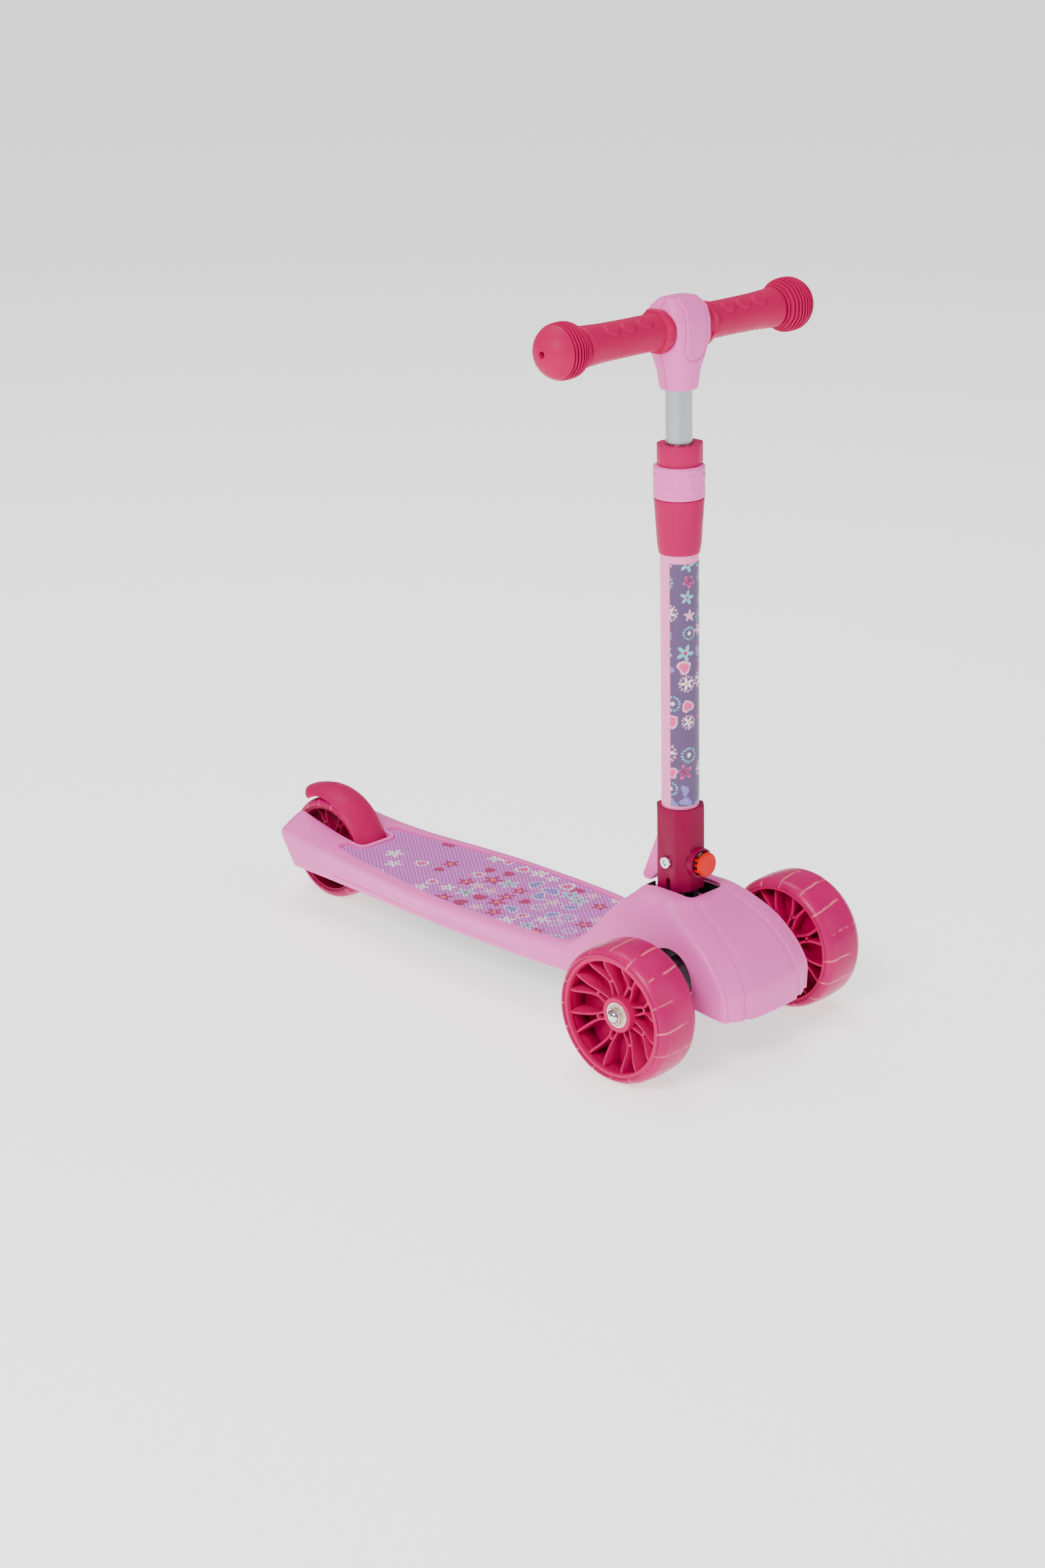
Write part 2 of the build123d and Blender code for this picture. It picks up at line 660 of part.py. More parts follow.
# ---------------------------------------------------------------- folding hinge
BLOCK_W = 36.0
BLOCK_D = 38.0
BUTTON_R = 10.5
LATCH = stem_front(0, 20.6).origin
SPRING_HEIGHTS = (-6.5, 6.5)
with BuildPart() as hinge_block:
    with BuildSketch(stem(BLOCK_BOTTOM)) as outline:
        Rectangle(BLOCK_W, BLOCK_D)
        chamfer(outline.vertices(), 9)
    extrude(amount=BLOCK_TOP - BLOCK_BOTTOM)
    with BuildSketch(stem_front(0, BLOCK_D / 2 - 1)):
        Circle(13)
    extrude(amount=6)
    # fork gap, open below and behind
    with BuildSketch(stem(BLOCK_BOTTOM)):
        with Locations((0, 5)):
            Rectangle(24, 40)
    extrude(amount=FORK_TOP - BLOCK_BOTTOM, mode=Mode.SUBTRACT)
    # tube socket
    with BuildSketch(stem(FORK_TOP + 2)):
        Circle(TUBE_R)
    extrude(amount=BLOCK_TOP, mode=Mode.SUBTRACT)
    # pivot bolt hole
    with BuildSketch(across(-30, PIVOT_Y, PIVOT_Z)):
        Circle(AXLE_R)
    extrude(amount=60, mode=Mode.SUBTRACT)
    # arched window low in each cheek
    with BuildSketch(across(-30, PIVOT_Y - 2, PIVOT_Z - 16.5)):
        Circle(2.6)
        with Locations((0, -10)):
            Rectangle(5.2, 20)
    extrude(amount=60, mode=Mode.SUBTRACT)
    # button well and the slot that guides the latch pin
    with BuildSketch(stem_front(0, 19)):
        Circle(BUTTON_R + 0.4)
    extrude(amount=8, mode=Mode.SUBTRACT)
    with BuildSketch(stem_front(0, 14)):
        Rectangle(21.6, 5)
        Circle(4)
    extrude(amount=8, mode=Mode.SUBTRACT)
finish(hinge_block, "hinge_block")

with BuildPart() as hinge_fin:
    with BuildSketch(across(-5, PIVOT_Y, PIVOT_Z)):
        with BuildLine():
            Polyline((-12, 0), (-12, FORK_TOP), (12, FORK_TOP), (19.4, FORK_TOP + 4), (27, 6), (39, -24),
                     (37, -28), (30, -28), (12, -9), (0, -12), close=True)
        make_face()
        Circle(12)
        Circle(AXLE_R, mode=Mode.SUBTRACT)
    extrude(amount=10)
    with BuildSketch(stem(FORK_TOP)):
        Rectangle(12, BLOCK_D)
    extrude(amount=10, mode=Mode.SUBTRACT)
finish(hinge_fin, "hinge_fin")

with BuildPart() as pivot_bolt:
    with BuildSketch(across(-18, PIVOT_Y, PIVOT_Z)):
        Circle(AXLE_R)
    extrude(amount=42)
    with BuildSketch(across(18, PIVOT_Y, PIVOT_Z, -1)):
        Circle(5.7)
    extrude(amount=2.6, taper=12)
    with BuildSketch(across(19, PIVOT_Y, PIVOT_Z, -1)):
        RegularPolygon(2.5, 6)
    extrude(amount=4, mode=Mode.SUBTRACT)
finish(pivot_bolt, "pivot_bolt")

with BuildPart() as pivot_nut:
    with BuildSketch(across(18, PIVOT_Y, PIVOT_Z)):
        RegularPolygon(6.4, 6)
        Circle(AXLE_R, mode=Mode.SUBTRACT)
    extrude(amount=5)
finish(pivot_nut, "pivot_nut")

with BuildPart() as release_button:
    with BuildSketch(stem_front(0, 28)):
        Circle(BUTTON_R)
    extrude(amount=4)
    fillet(release_button.edges().group_by(Axis.Y)[0], 1.8)
    for rib in (-5, 0, 5):
        with BuildSketch(stem_front(rib, 23.4)):
            Rectangle(17, 1.6)
        extrude(amount=4.8)
    with BuildSketch(stem_front(0, 18.4)):
        Circle(3.4)
    extrude(amount=10)
    with BuildSketch(across(-12, LATCH.Y, LATCH.Z)):
        Circle(2)
    extrude(amount=24, mode=Mode.SUBTRACT)
    for height in SPRING_HEIGHTS:
        with BuildSketch(stem_front(height, 22)):
            Circle(3.1)
        extrude(amount=6, mode=Mode.SUBTRACT)
finish(release_button, "release_button")

with BuildPart() as latch_pin:
    with BuildSketch(across(-10, LATCH.Y, LATCH.Z)):
        Circle(2)
    extrude(amount=20)
finish(latch_pin, "latch_pin")

spring_seats = [stem_front(height, 19.6).origin for height in SPRING_HEIGHTS]
spring("button_springs", spring_seats, stem_front(0, 0).z_dir, 2.2, 0.4, 4.2, 3)

# ---------------------------------------------------------------- stem tubes and collar
with BuildPart() as lower_tube:
    with BuildSketch(stem(FORK_TOP + 2)):
        Circle(TUBE_R)
        Circle(TUBE_R - 1.5, mode=Mode.SUBTRACT)
    extrude(amount=RING_TOP - 1 - FORK_TOP - 2)
finish(lower_tube, "lower_tube")

with BuildPart() as stem_decal:
    with BuildSketch(stem(51)):
        Circle(TUBE_R + 0.3)
        Circle(TUBE_R, mode=Mode.SUBTRACT)
        with Locations((0, TUBE_R + 4 - 3.3)):
            Rectangle(60, 2 * TUBE_R, mode=Mode.SUBTRACT)
    extrude(amount=210)
finish(stem_decal, "stem_decal")

NECK_R = 17.7
with BuildPart() as collar_body:
    for s, r in ((COLLAR_BOTTOM, 17.2), (COLLAR_BOTTOM + 8, 18.4), (RING_BOTTOM - 0.4, 21)):
        with BuildSketch(stem(s)):
            Circle(r)
    loft(ruled=True)
    with BuildSketch(stem(RING_BOTTOM - 16)):
        with Locations((12, 0)):
            RectangleRounded(21, 17, 5)
    extrude(amount=15.6)
    with BuildSketch(stem(RING_BOTTOM - 1)):
        Circle(NECK_R)
    extrude(amount=RING_TOP - RING_BOTTOM + 1.4)
    with BuildSketch(stem(COLLAR_BOTTOM - 1)):
        Circle(TUBE_R)
    extrude(amount=90, mode=Mode.SUBTRACT)
finish(collar_body, "collar_body")

with BuildPart() as lock_ring:
    with BuildSketch(stem(RING_BOTTOM)):
        Circle(22.2)
    extrude(amount=RING_TOP - RING_BOTTOM)
    fillet(lock_ring.edges(), 1.6)
    with BuildSketch(stem(RING_BOTTOM - 1)):
        Circle(NECK_R + RUNNING)
    extrude(amount=40, mode=Mode.SUBTRACT)
finish(lock_ring, "lock_ring")

with BuildPart() as collar_cap:
    with BuildSketch(stem(RING_TOP + 0.4)):
        Circle(18.2)
        with Locations((11, 0)):
            RectangleRounded(22, 20, 6)
    extrude(amount=COLLAR_TOP - RING_TOP - 0.4)
    fillet(collar_cap.edges().group_by(Axis.Z)[-1], 1.2)
    with BuildSketch(stem(RING_TOP)):
        Circle(TUBE_R - 1.4)
    extrude(amount=3, mode=Mode.SUBTRACT)
    with BuildSketch(stem(RING_TOP)):
        Circle(INNER_TUBE_R + 0.3)
    extrude(amount=40, mode=Mode.SUBTRACT)
finish(collar_cap, "collar_cap")

with BuildPart() as upper_bush:
    with BuildSketch(stem(298)):
        Circle(TUBE_R - 1.5)
        Circle(INNER_TUBE_R + RUNNING, mode=Mode.SUBTRACT)
    extrude(amount=RING_TOP + 2.6 - 298)
finish(upper_bush, "upper_bush")

# ---------------------------------------------------------------- sliding handlebar
GROOVE_AT = 158.0           # degrees round the tube from +X
with BuildPart() as upper_tube:
    with BuildSketch(stem(69)):
        Circle(INNER_TUBE_R)
        Circle(INNER_TUBE_R - 1.6, mode=Mode.SUBTRACT)
        with Locations(beside(INNER_TUBE_R, 0, GROOVE_AT)):
            Rectangle(1.8, 3.4, rotation=GROOVE_AT, mode=Mode.SUBTRACT)
    extrude(amount=BAR_AT - BAR_R - 0.6 - 69)
finish(upper_tube, "upper_tube")

with BuildPart() as slide_bush:
    with BuildSketch(stem(69)):
        Circle(TUBE_R - 1.5 - RUNNING)
        Circle(INNER_TUBE_R, mode=Mode.SUBTRACT)
    extrude(amount=26)
finish(slide_bush, "slide_bush")

BAR_CENTRE = stem(BAR_AT).origin
BAR_AXIS = Axis((0, BAR_CENTRE.Y, BAR_CENTRE.Z), (1, 0, 0))
with BuildPart() as bar_tube:
    with BuildSketch(across(-BAR_HALF, BAR_CENTRE.Y, BAR_CENTRE.Z)):
        Circle(BAR_R)
        Circle(BAR_R - 1.5, mode=Mode.SUBTRACT)
    extrude(amount=2 * BAR_HALF)
finish(bar_tube, "bar_tube")

# distance along the stem, width, depth, corner radius
HEAD_SECTIONS = (
    (HEAD_BOTTOM, 31, 31, 15),
    (HEAD_BOTTOM + 14, 34, 34, 15.5),
    (HEAD_BOTTOM + 30, 43, 38, 15),
    (BAR_AT - 8, 48, 41, 13),
    (BAR_AT + 8, 48, 41, 13),
    (BAR_AT + 20, 44, 36, 12),
    (HEAD_TOP, 32, 20, 8),
)
HEAD_SCREWS = (HEAD_BOTTOM + 16, BAR_AT + 19)


def head_shell(name, hand):
    """One half of the T-shaped head; hand -1 is the front and 1 is the rear."""
    with BuildPart() as shell:
        for s, wide, deep, corner in HEAD_SECTIONS:
            with BuildSketch(stem(s)):
                RectangleRounded(wide, deep, corner)
        loft(ruled=True)
        with BuildSketch(stem(HEAD_BOTTOM - 1)):
            with Locations((0, -hand * 50)):
                Rectangle(120, 100)
        extrude(amount=100, mode=Mode.SUBTRACT)
        with BuildSketch(stem(HEAD_BOTTOM - 1)):
            Circle(INNER_TUBE_R)
        extrude(amount=BAR_AT - BAR_R - HEAD_BOTTOM + 1, mode=Mode.SUBTRACT)
        with BuildSketch(across(-40, BAR_CENTRE.Y, BAR_CENTRE.Z)):
            Circle(BAR_R)
        extrude(amount=80, mode=Mode.SUBTRACT)
        for side in (-1, 1):
            with BuildSketch(across(20, BAR_CENTRE.Y, BAR_CENTRE.Z, side)):
                Circle(17.2)
            extrude(amount=20, mode=Mode.SUBTRACT)
        for at in HEAD_SCREWS:
            for x in (-13.5, 13.5) if at < BAR_AT else (0,):
                with BuildSketch(stem_front(at, -30)):
                    with Locations((x, 0)):
                        Circle(1.5)
                extrude(amount=34, mode=Mode.SUBTRACT)
    finish(shell, name)


head_shell("t_head_front", -1)
head_shell("t_head_rear", 1)

with BuildPart() as t_head_screws:
    for at in HEAD_SCREWS:
        for x in (-13.5, 13.5) if at < BAR_AT else (0,):
            with BuildSketch(stem_front(at, -9)):
                with Locations((x, 0)):
                    Circle(1.5)
            extrude(amount=12)
finish(t_head_screws, "t_head_screws")


DISCS = 8                   # thin discs round the inner half of the ball
DISC_FROM = 118.5
DISC_PITCH = 3.0
DISC_T = 1.4


def grip(name, side):
    """Soft grip with a flange by the head, and a ribbed ball at the end."""
    ribs = []
    for i in range(DISCS):
        x = DISC_FROM + i * DISC_PITCH
        crest = sqrt(BALL_R ** 2 - (BALL_AT - x - DISC_T / 2) ** 2)
        ribs += [(x, crest - 3), (x, crest), (x + DISC_T, crest), (x + DISC_T, crest - 3)]
    shoulder = DISC_FROM + DISCS * DISC_PITCH
    shoulder_r = sqrt(BALL_R ** 2 - (BALL_AT - shoulder) ** 2)
    with BuildPart() as rubber:
        with BuildSketch(axial(BAR_CENTRE.Y, BAR_CENTRE.Z, side)):
            with BuildLine():
                Polyline((20.3, 0), (20.3, 17), (24.2, 17), (24.2, 18.2), (30, 18.2), (30, 15.4), (40, 14.8),
                         (90, 15.2), (112, 16.2), (116, 16.4), (118, 13.6), *ribs, (shoulder, shoulder_r - 3),
                         (shoulder, shoulder_r))
                dome = (BALL_AT + BALL_R * sin(radians(55)), BALL_R * cos(radians(55)))
                ThreePointArc((shoulder, shoulder_r), dome, (BALL_AT + BALL_R, 0))
                Line((BALL_AT + BALL_R, 0), (20.3, 0))
            make_face()
        revolve(axis=BAR_AXIS)
        with BuildSketch(across(20, BAR_CENTRE.Y, BAR_CENTRE.Z, side)):
            Circle(BAR_R)
        extrude(amount=BAR_HALF + 0.3 - 20, mode=Mode.SUBTRACT)
        with BuildSketch(across(120, BAR_CENTRE.Y, BAR_CENTRE.Z, side)):
            Circle(2.8)
        extrude(amount=60, mode=Mode.SUBTRACT)
    finish(rubber, name)


grip("left_grip", 1)
grip("right_grip", -1)
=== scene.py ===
"""Kick scooter: the visual model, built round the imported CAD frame. Shapes are in millimetres until piece()."""
from bisect import bisect
import json
from math import asin, atan2, cos, floor, hypot, pi, radians, sin, sqrt
from random import Random

import bmesh
import bpy
from mathutils import Matrix, Vector


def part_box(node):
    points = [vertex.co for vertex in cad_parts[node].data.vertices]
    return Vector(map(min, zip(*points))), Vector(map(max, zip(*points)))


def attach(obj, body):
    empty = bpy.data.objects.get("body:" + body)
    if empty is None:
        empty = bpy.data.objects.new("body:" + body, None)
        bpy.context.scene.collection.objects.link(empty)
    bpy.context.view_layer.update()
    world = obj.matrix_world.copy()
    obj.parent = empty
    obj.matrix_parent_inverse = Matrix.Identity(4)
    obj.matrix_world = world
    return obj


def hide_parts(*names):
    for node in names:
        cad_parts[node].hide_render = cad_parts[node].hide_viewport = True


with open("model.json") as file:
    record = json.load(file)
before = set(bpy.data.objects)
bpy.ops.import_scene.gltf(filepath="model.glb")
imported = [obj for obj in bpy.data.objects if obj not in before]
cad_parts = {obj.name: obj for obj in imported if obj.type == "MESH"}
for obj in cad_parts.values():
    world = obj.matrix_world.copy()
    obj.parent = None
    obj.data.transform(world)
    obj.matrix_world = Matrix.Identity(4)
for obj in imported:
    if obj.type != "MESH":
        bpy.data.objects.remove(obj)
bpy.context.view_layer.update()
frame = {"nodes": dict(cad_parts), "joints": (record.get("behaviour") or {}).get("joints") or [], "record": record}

MM = 0.001
RECORD = frame["record"]
SLOT_OF = {row["node"]: row["material_slot"] for row in RECORD["subparts"]}
BODY_OF = {node: body for body, nodes in RECORD["behaviour"]["bodies"].items() for node in nodes}
JOINT = {joint["name"]: joint for joint in frame["joints"]}


def low(node):
    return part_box(node)[0] / MM


def high(node):
    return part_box(node)[1] / MM


def middle(node):
    return (low(node) + high(node)) / 2


def placed(name, data):
    """A new object in the scene."""
    made = bpy.data.objects.new(name, data)
    bpy.context.scene.collection.objects.link(made)
    return made


# -------- camera, light and floor
AZIMUTH = radians(47.31)
ELEVATION = radians(19.96)
ROLL = radians(0.36)
DISTANCE = 2.5377
TARGET = Vector((0, -0.129, 0.206))
SENSOR = 36.0                # mm along the frame's longer side
LENS = 67.7372449            # this and the rest were fitted to the outlines in the photo
SHIFT_X, SHIFT_Y = -0.0676020408, 0.000425170068


def place_camera():
    back = Vector((-sin(AZIMUTH) * cos(ELEVATION), -cos(AZIMUTH) * cos(ELEVATION), sin(ELEVATION)))
    right = Vector((0, 0, 1)).cross(back).normalized()
    up = back.cross(right)
    turn = Matrix((right, up, back)).transposed().to_4x4() @ Matrix.Rotation(ROLL, 4, "Z")
    data = bpy.data.cameras.new("camera")
    data.sensor_width = SENSOR
    data.lens = LENS
    data.shift_x = SHIFT_X
    data.shift_y = SHIFT_Y
    data.clip_start = 0.05
    camera = placed("camera", data)
    camera.matrix_world = Matrix.Translation(TARGET + back * DISTANCE) @ turn
    bpy.context.scene.camera = camera


def area_light(name, where, size, watts):
    data = bpy.data.lights.new(name, "AREA")
    data.size = size
    data.energy = watts
    light = placed(name, data)
    light.location = where
    light.rotation_euler = (Vector((0, 0, 0.25)) - Vector(where)).to_track_quat("-Z", "Y").to_euler()


def studio():
    world = bpy.data.worlds.new("studio")
    world.use_nodes = True
    background = world.node_tree.nodes["Background"]
    background.inputs["Color"].default_value = (1, 1, 1, 1)
    background.inputs["Strength"].default_value = 0.42
    bpy.context.scene.world = world
    area_light("key", (-2.4, -0.9, 2.3), 1.2, 104)
    area_light("fill", (1.2, -2.4, 1.4), 1.6, 14)
    area_light("top", (0.3, 0.8, 3.0), 1.6, 50)
    size = 12.0
    mesh = bpy.data.meshes.new("floor")
    corners = [(-size, -size, 0), (size, -size, 0), (size, size, 0), (-size, size, 0)]
    mesh.from_pydata(corners, [], [(0, 1, 2, 3)])
    floor = placed("floor", mesh)
    paint = bpy.data.materials.new("floor_paint")
    paint.use_nodes = True
    shader = paint.node_tree.nodes["Principled BSDF"]
    shader.inputs["Base Color"].default_value = (0.93, 0.93, 0.93, 1)
    shader.inputs["Roughness"].default_value = 0.9
    shader.inputs["Specular IOR Level"].default_value = 0.1
    shader.inputs["Emission Color"].default_value = (1, 1, 1, 1)
    shader.inputs["Emission Strength"].default_value = 1.05
    mesh.materials.append(paint)


place_camera()
studio()


# -------- materials
def rgb(red, green, blue, gain=1.0):
    """Linear colour from display values of 0 to 255."""
    linear = []
    for value in (red, green, blue):
        v = value / 255
        v = v / 12.92 if v <= 0.04045 else ((v + 0.055) / 1.055) ** 2.4
        linear.append(min(v * gain, 1.0))
    return (*linear, 1.0)


class Graph:
    """A material's node tree, with short calls for the nodes used here."""

    def __init__(self, name, **sockets):
        self.material = bpy.data.materials.new(name)
        self.material.use_nodes = True
        self.tree = self.material.node_tree
        self.shader = self.tree.nodes["Principled BSDF"]
        for key, value in sockets.items():
            self.shader.inputs[key.replace("_", " ")].default_value = value
        self.where = self.node("ShaderNodeTexCoord").outputs["Object"]

    def node(self, kind, **settings):
        made = self.tree.nodes.new(kind)
        for key, value in settings.items():
            setattr(made, key, value)
        return made

    def feed(self, socket, value):
        if isinstance(value, bpy.types.NodeSocket):
            self.tree.links.new(value, socket)
        else:
            socket.default_value = value

    def math(self, operation, a, b=0.0):
        made = self.node("ShaderNodeMath", operation=operation)
        self.feed(made.inputs[0], a)
        self.feed(made.inputs[1], b)
        return made.outputs[0]

    def noise(self, scale, detail=3.0, stretch=(1, 1, 1)):
        mapping = self.node("ShaderNodeMapping")
        mapping.inputs["Scale"].default_value = stretch
        self.feed(mapping.inputs["Vector"], self.where)
        made = self.node("ShaderNodeTexNoise")
        made.inputs["Scale"].default_value = scale
        made.inputs["Detail"].default_value = detail
        self.feed(made.inputs["Vector"], mapping.outputs["Vector"])
        return made.outputs["Fac"]

    def ramp(self, value, start, end, out_start=0.0, out_end=1.0):
        made = self.node("ShaderNodeMapRange")
        for key, number in zip(("From Min", "From Max", "To Min", "To Max"), (start, end, out_start, out_end)):
            made.inputs[key].default_value = number
        self.feed(made.inputs["Value"], value)
        return made.outputs["Result"]

    def blend(self, factor, a, b):
        made = self.node("ShaderNodeMix", data_type="RGBA")
        self.feed(made.inputs["Factor"], factor)
        self.feed(made.inputs["A"], a)
        self.feed(made.inputs["B"], b)
        return made.outputs["Result"]

    def axes(self):
        split = self.node("ShaderNodeSeparateXYZ")
        self.feed(split.inputs[0], self.where)
        return split.outputs

    def colour(self, value):
        self.feed(self.shader.inputs["Base Color"], value)

    def roughness(self, value):
        self.feed(self.shader.inputs["Roughness"], value)

    def bump(self, height, distance, strength=1.0):
        made = self.node("ShaderNodeBump")
        made.inputs["Distance"].default_value = distance
        made.inputs["Strength"].default_value = strength
        self.feed(made.inputs["Height"], height)
        self.feed(self.shader.inputs["Normal"], made.outputs["Normal"])

    def painted_edge_highlight(self, colour, edge, amount=0.5):
        """Painted highlight: sharp edges a little paler than the faces."""
        point = self.node("ShaderNodeNewGeometry").outputs["Pointiness"]
        return self.blend(self.ramp(point, 0.51, 0.58, 0.0, amount), colour, edge)


def scaled(colour, gain):
    return (*[min(channel * gain, 1.0) for channel in colour[:3]], 1.0)


def moulded(name, colour, roughness, grain=2200, depth=0.00004, gloss=0.5, painted_shade=None, **sockets):
    """Moulded plastic: faint flow marks, uneven sheen, a fine grain, and painted shade deep inside a hub, darkest
    at its web.
    """
    g = Graph(name, Specular_IOR_Level=gloss, **sockets)
    flow = g.ramp(g.noise(9, 2), 0.3, 0.7)
    base = g.blend(flow, scaled(colour, 0.955), scaled(colour, 1.03))
    if painted_shade:
        # painted shade: darker towards a hub's web, deep behind the spokes, where shade falls
        away = g.math("SUBTRACT", g.math("ABSOLUTE", g.axes()["X"]), WEB_AT * MM)
        base = g.blend(g.ramp(g.math("ABSOLUTE", away), 0.0, SHADE_FADE * MM), painted_shade, base)
    # painted highlight on sharp edges, up to a quarter paler than the faces
    g.colour(g.painted_edge_highlight(base, scaled(colour, 1.25)))
    g.roughness(g.ramp(g.noise(60, 4), 0.3, 0.7, roughness - 0.05, roughness + 0.06))
    g.bump(g.noise(grain, 2), depth, 0.5)
    return g.material


def metal(name, colour, roughness, stretch=(1, 1, 1), scale=400):
    g = Graph(name, Metallic=1.0)
    streak = g.noise(scale, 4, stretch)
    g.colour(g.blend(g.ramp(streak, 0.3, 0.7), scaled(colour, 0.86), scaled(colour, 1.06)))
    g.roughness(g.ramp(streak, 0.25, 0.75, roughness * 0.75, roughness * 1.3))
    g.bump(streak, 0.00002, 0.35)
    return g.material


def printed(name, roughness, under, rib_pitch=0.0):
    """Printed surface: its colours are stored with the mesh's points. Painted shade darkens the troughs between
    the ribs' crests.
    """
    g = Graph(name, Specular_IOR_Level=0.35)
    ink = g.node("ShaderNodeAttribute", attribute_name="print").outputs["Color"]
    speck = g.ramp(g.noise(1400, 2), 0.35, 0.7, 0.0, 0.16)
    base = g.blend(speck, ink, under)
    if rib_pitch:
        where = g.axes()
        in_x = g.math("MULTIPLY", where["X"], RIB_X)
        in_y = g.math("MULTIPLY", where["Y"], RIB_Y)
        along = g.math("SUBTRACT", in_x, in_y)
        wave = g.math("COSINE", g.math("MULTIPLY", along, 2 * pi / rib_pitch))
        # painted shade: dark purple in the troughs between the ribs
        base = g.blend(g.ramp(wave, 0.1, -0.8, 0.0, 0.5), base, rgb(96, 52, 104))
    g.colour(base)
    g.roughness(g.ramp(g.noise(90, 3), 0.3, 0.7, roughness - 0.07, roughness + 0.07))
    g.bump(g.noise(2600, 2), 0.00005, 0.4)
    return g.material


def clear_tyre(name, colour, centre_y, centre_z):
    """Clear cast polyurethane with faint pale lines moulded across it."""
    g = Graph(name, Subsurface_Weight=0.12, Subsurface_Radius=(1.0, 0.1, 0.3), Subsurface_Scale=0.003,
              Specular_IOR_Level=0.16, IOR=1.48)
    where = g.axes()
    y = g.math("SUBTRACT", where["Y"], centre_y)
    z = g.math("SUBTRACT", where["Z"], centre_z)
    turn = g.math("MULTIPLY", g.math("ARCTAN2", z, y), TYRE_LINES / (2 * pi))
    slant = g.math("MULTIPLY", where["X"], TYRE_SLANT)
    wobble = g.math("MULTIPLY", g.noise(30, 2), 0.25)
    phase = g.math("FRACT", g.math("ADD", g.math("ADD", g.math("ADD", turn, slant), wobble), 20.0))
    line = g.ramp(g.math("ABSOLUTE", g.math("SUBTRACT", phase, 0.5)), 0.02, 0.05, 1.0, 0.0)
    broken = g.ramp(g.noise(70, 3), 0.42, 0.55, 0.0, 0.75)
    cloudy = g.ramp(g.noise(22, 3), 0.35, 0.65)
    base = g.blend(cloudy, scaled(colour, 0.88), scaled(colour, 1.08))
    g.colour(g.blend(g.math("MULTIPLY", line, broken), base, rgb(236, 128, 132)))
    g.roughness(g.ramp(g.noise(45, 3), 0.3, 0.7, 0.22, 0.34))
    g.bump(g.noise(160, 3), 0.0002, 0.3)
    return g.material


WEB_AT = 105.8               # middle of a front hub's web from the centre plane
SHADE_FADE = 13.0             # the painted shade in a hub fades out over this distance from the web
TYRE_LINES, TYRE_SLANT = 16, 4.0
LIGHT_PINK = rgb(236, 98, 184)
HOT_PINK = rgb(176, 0, 82)
LILAC = rgb(206, 104, 196)
FILM = rgb(92, 68, 110)
WHITE = rgb(240, 236, 240)
AQUA = rgb(120, 196, 204)
ORANGE = rgb(240, 140, 90)
BLUE = rgb(132, 120, 196)
PLUM = rgb(120, 40, 96)
ROSE = rgb(232, 70, 140)
PALE_ROSE = rgb(240, 168, 200)

RIB_PITCH = 3.3
RIB_X, RIB_Y = 0.79, 0.61    # direction across the ribs
MATERIAL = {                 # by the record's material slots
    "light_pink": moulded("light_pink_plastic", LIGHT_PINK, 0.4, gloss=0.35),
    "hot_pink": moulded("hot_pink_plastic", HOT_PINK, 0.42, gloss=0.1),
    "grip": moulded("grip_rubber", rgb(176, 0, 74), 0.48, 1500, 0.00008, gloss=0.1),
    "magenta": moulded("magenta_plastic", rgb(128, 0, 56), 0.36, gloss=0.14),
    "orange": moulded("orange_plastic", rgb(214, 12, 0), 0.32, gloss=0.14),
    "black_plastic": moulded("black_plastic", rgb(28, 27, 29), 0.5, 1200, 0.00008),
    "nylon": moulded("natural_nylon", rgb(222, 214, 198), 0.5),
    "black_steel": moulded("black_powder_coat", rgb(24, 24, 26), 0.45, 700, 0.00012),
    "pink_paint": moulded("pink_powder_coat", rgb(250, 122, 184), 0.3, 900, 0.00006, Coat_Weight=0.15,
                          Coat_Roughness=0.18),
    "zinc": metal("zinc_plate", rgb(196, 196, 198), 0.34),
    "chrome": metal("bright_nickel", rgb(226, 226, 228), 0.14),
    "aluminium": metal("brushed_aluminium", rgb(176, 178, 182), 0.26, (1, 1, 0.02), 1500),
    "mat": printed("mat_print", 0.62, rgb(176, 140, 190), RIB_PITCH * MM),
    "decal": printed("film_print", 0.34, rgb(70, 52, 88)),
}
MATERIAL["clear_pink"] = MATERIAL["hot_pink"]    # the tyres' own materials are made with the wheels
chrome = MATERIAL["chrome"]
shield = moulded("bearing_shield", rgb(206, 184, 148), 0.4)


# -------- mesh tools
def trim(name, mesh, node, material, sharp=40):
    """Turn a mesh in metres into a shown piece that rides with a CAD node and replaces nothing."""
    mesh.materials.clear()
    mesh.materials.append(material)
    mesh.shade_smooth()
    mesh.set_sharp_from_angle(angle=radians(sharp))
    made = placed(name, mesh)
    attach(made, BODY_OF[node])
    return made


def piece(name, mesh, node, material=None, sharp=40):
    """A shown piece that takes a CAD node's place."""
    made = trim(name, mesh, node, material or MATERIAL[SLOT_OF[node]], sharp)
    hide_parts(node)


def to_mesh(name, verts, faces, weld=0.001):
    """Mesh in metres from points in millimetres, welded and with outward normals."""
    mesh = bpy.data.meshes.new(name)
    mesh.from_pydata([Vector(v) * MM for v in verts], [], faces)
    bm = bmesh.new()
    bm.from_mesh(mesh)
    bmesh.ops.remove_doubles(bm, verts=bm.verts, dist=weld * MM)
    bmesh.ops.recalc_face_normals(bm, faces=bm.faces)
    bm.to_mesh(mesh)
    bm.free()
    return mesh


def skin(rows, ring=True, ends="cap"):
    """Points and faces through rows of equal length: each row may be a ring, and the ends capped or joined."""
    count = len(rows[0])
    verts = [point for row in rows for point in row]
    faces = []
    spans = len(rows) if ends == "join" else len(rows) - 1
    for i in range(spans):
        below = i * count
        above = (i + 1) % len(rows) * count
        for j in range(count if ring else count - 1):
            k = (j + 1) % count
            faces.append((below + j, below + k, above + k, above + j))
    if ends == "cap" and ring:
        faces.append(tuple(range(count - 1, -1, -1)))
        faces.append(tuple(range(len(verts) - count, len(verts))))
    return verts, faces


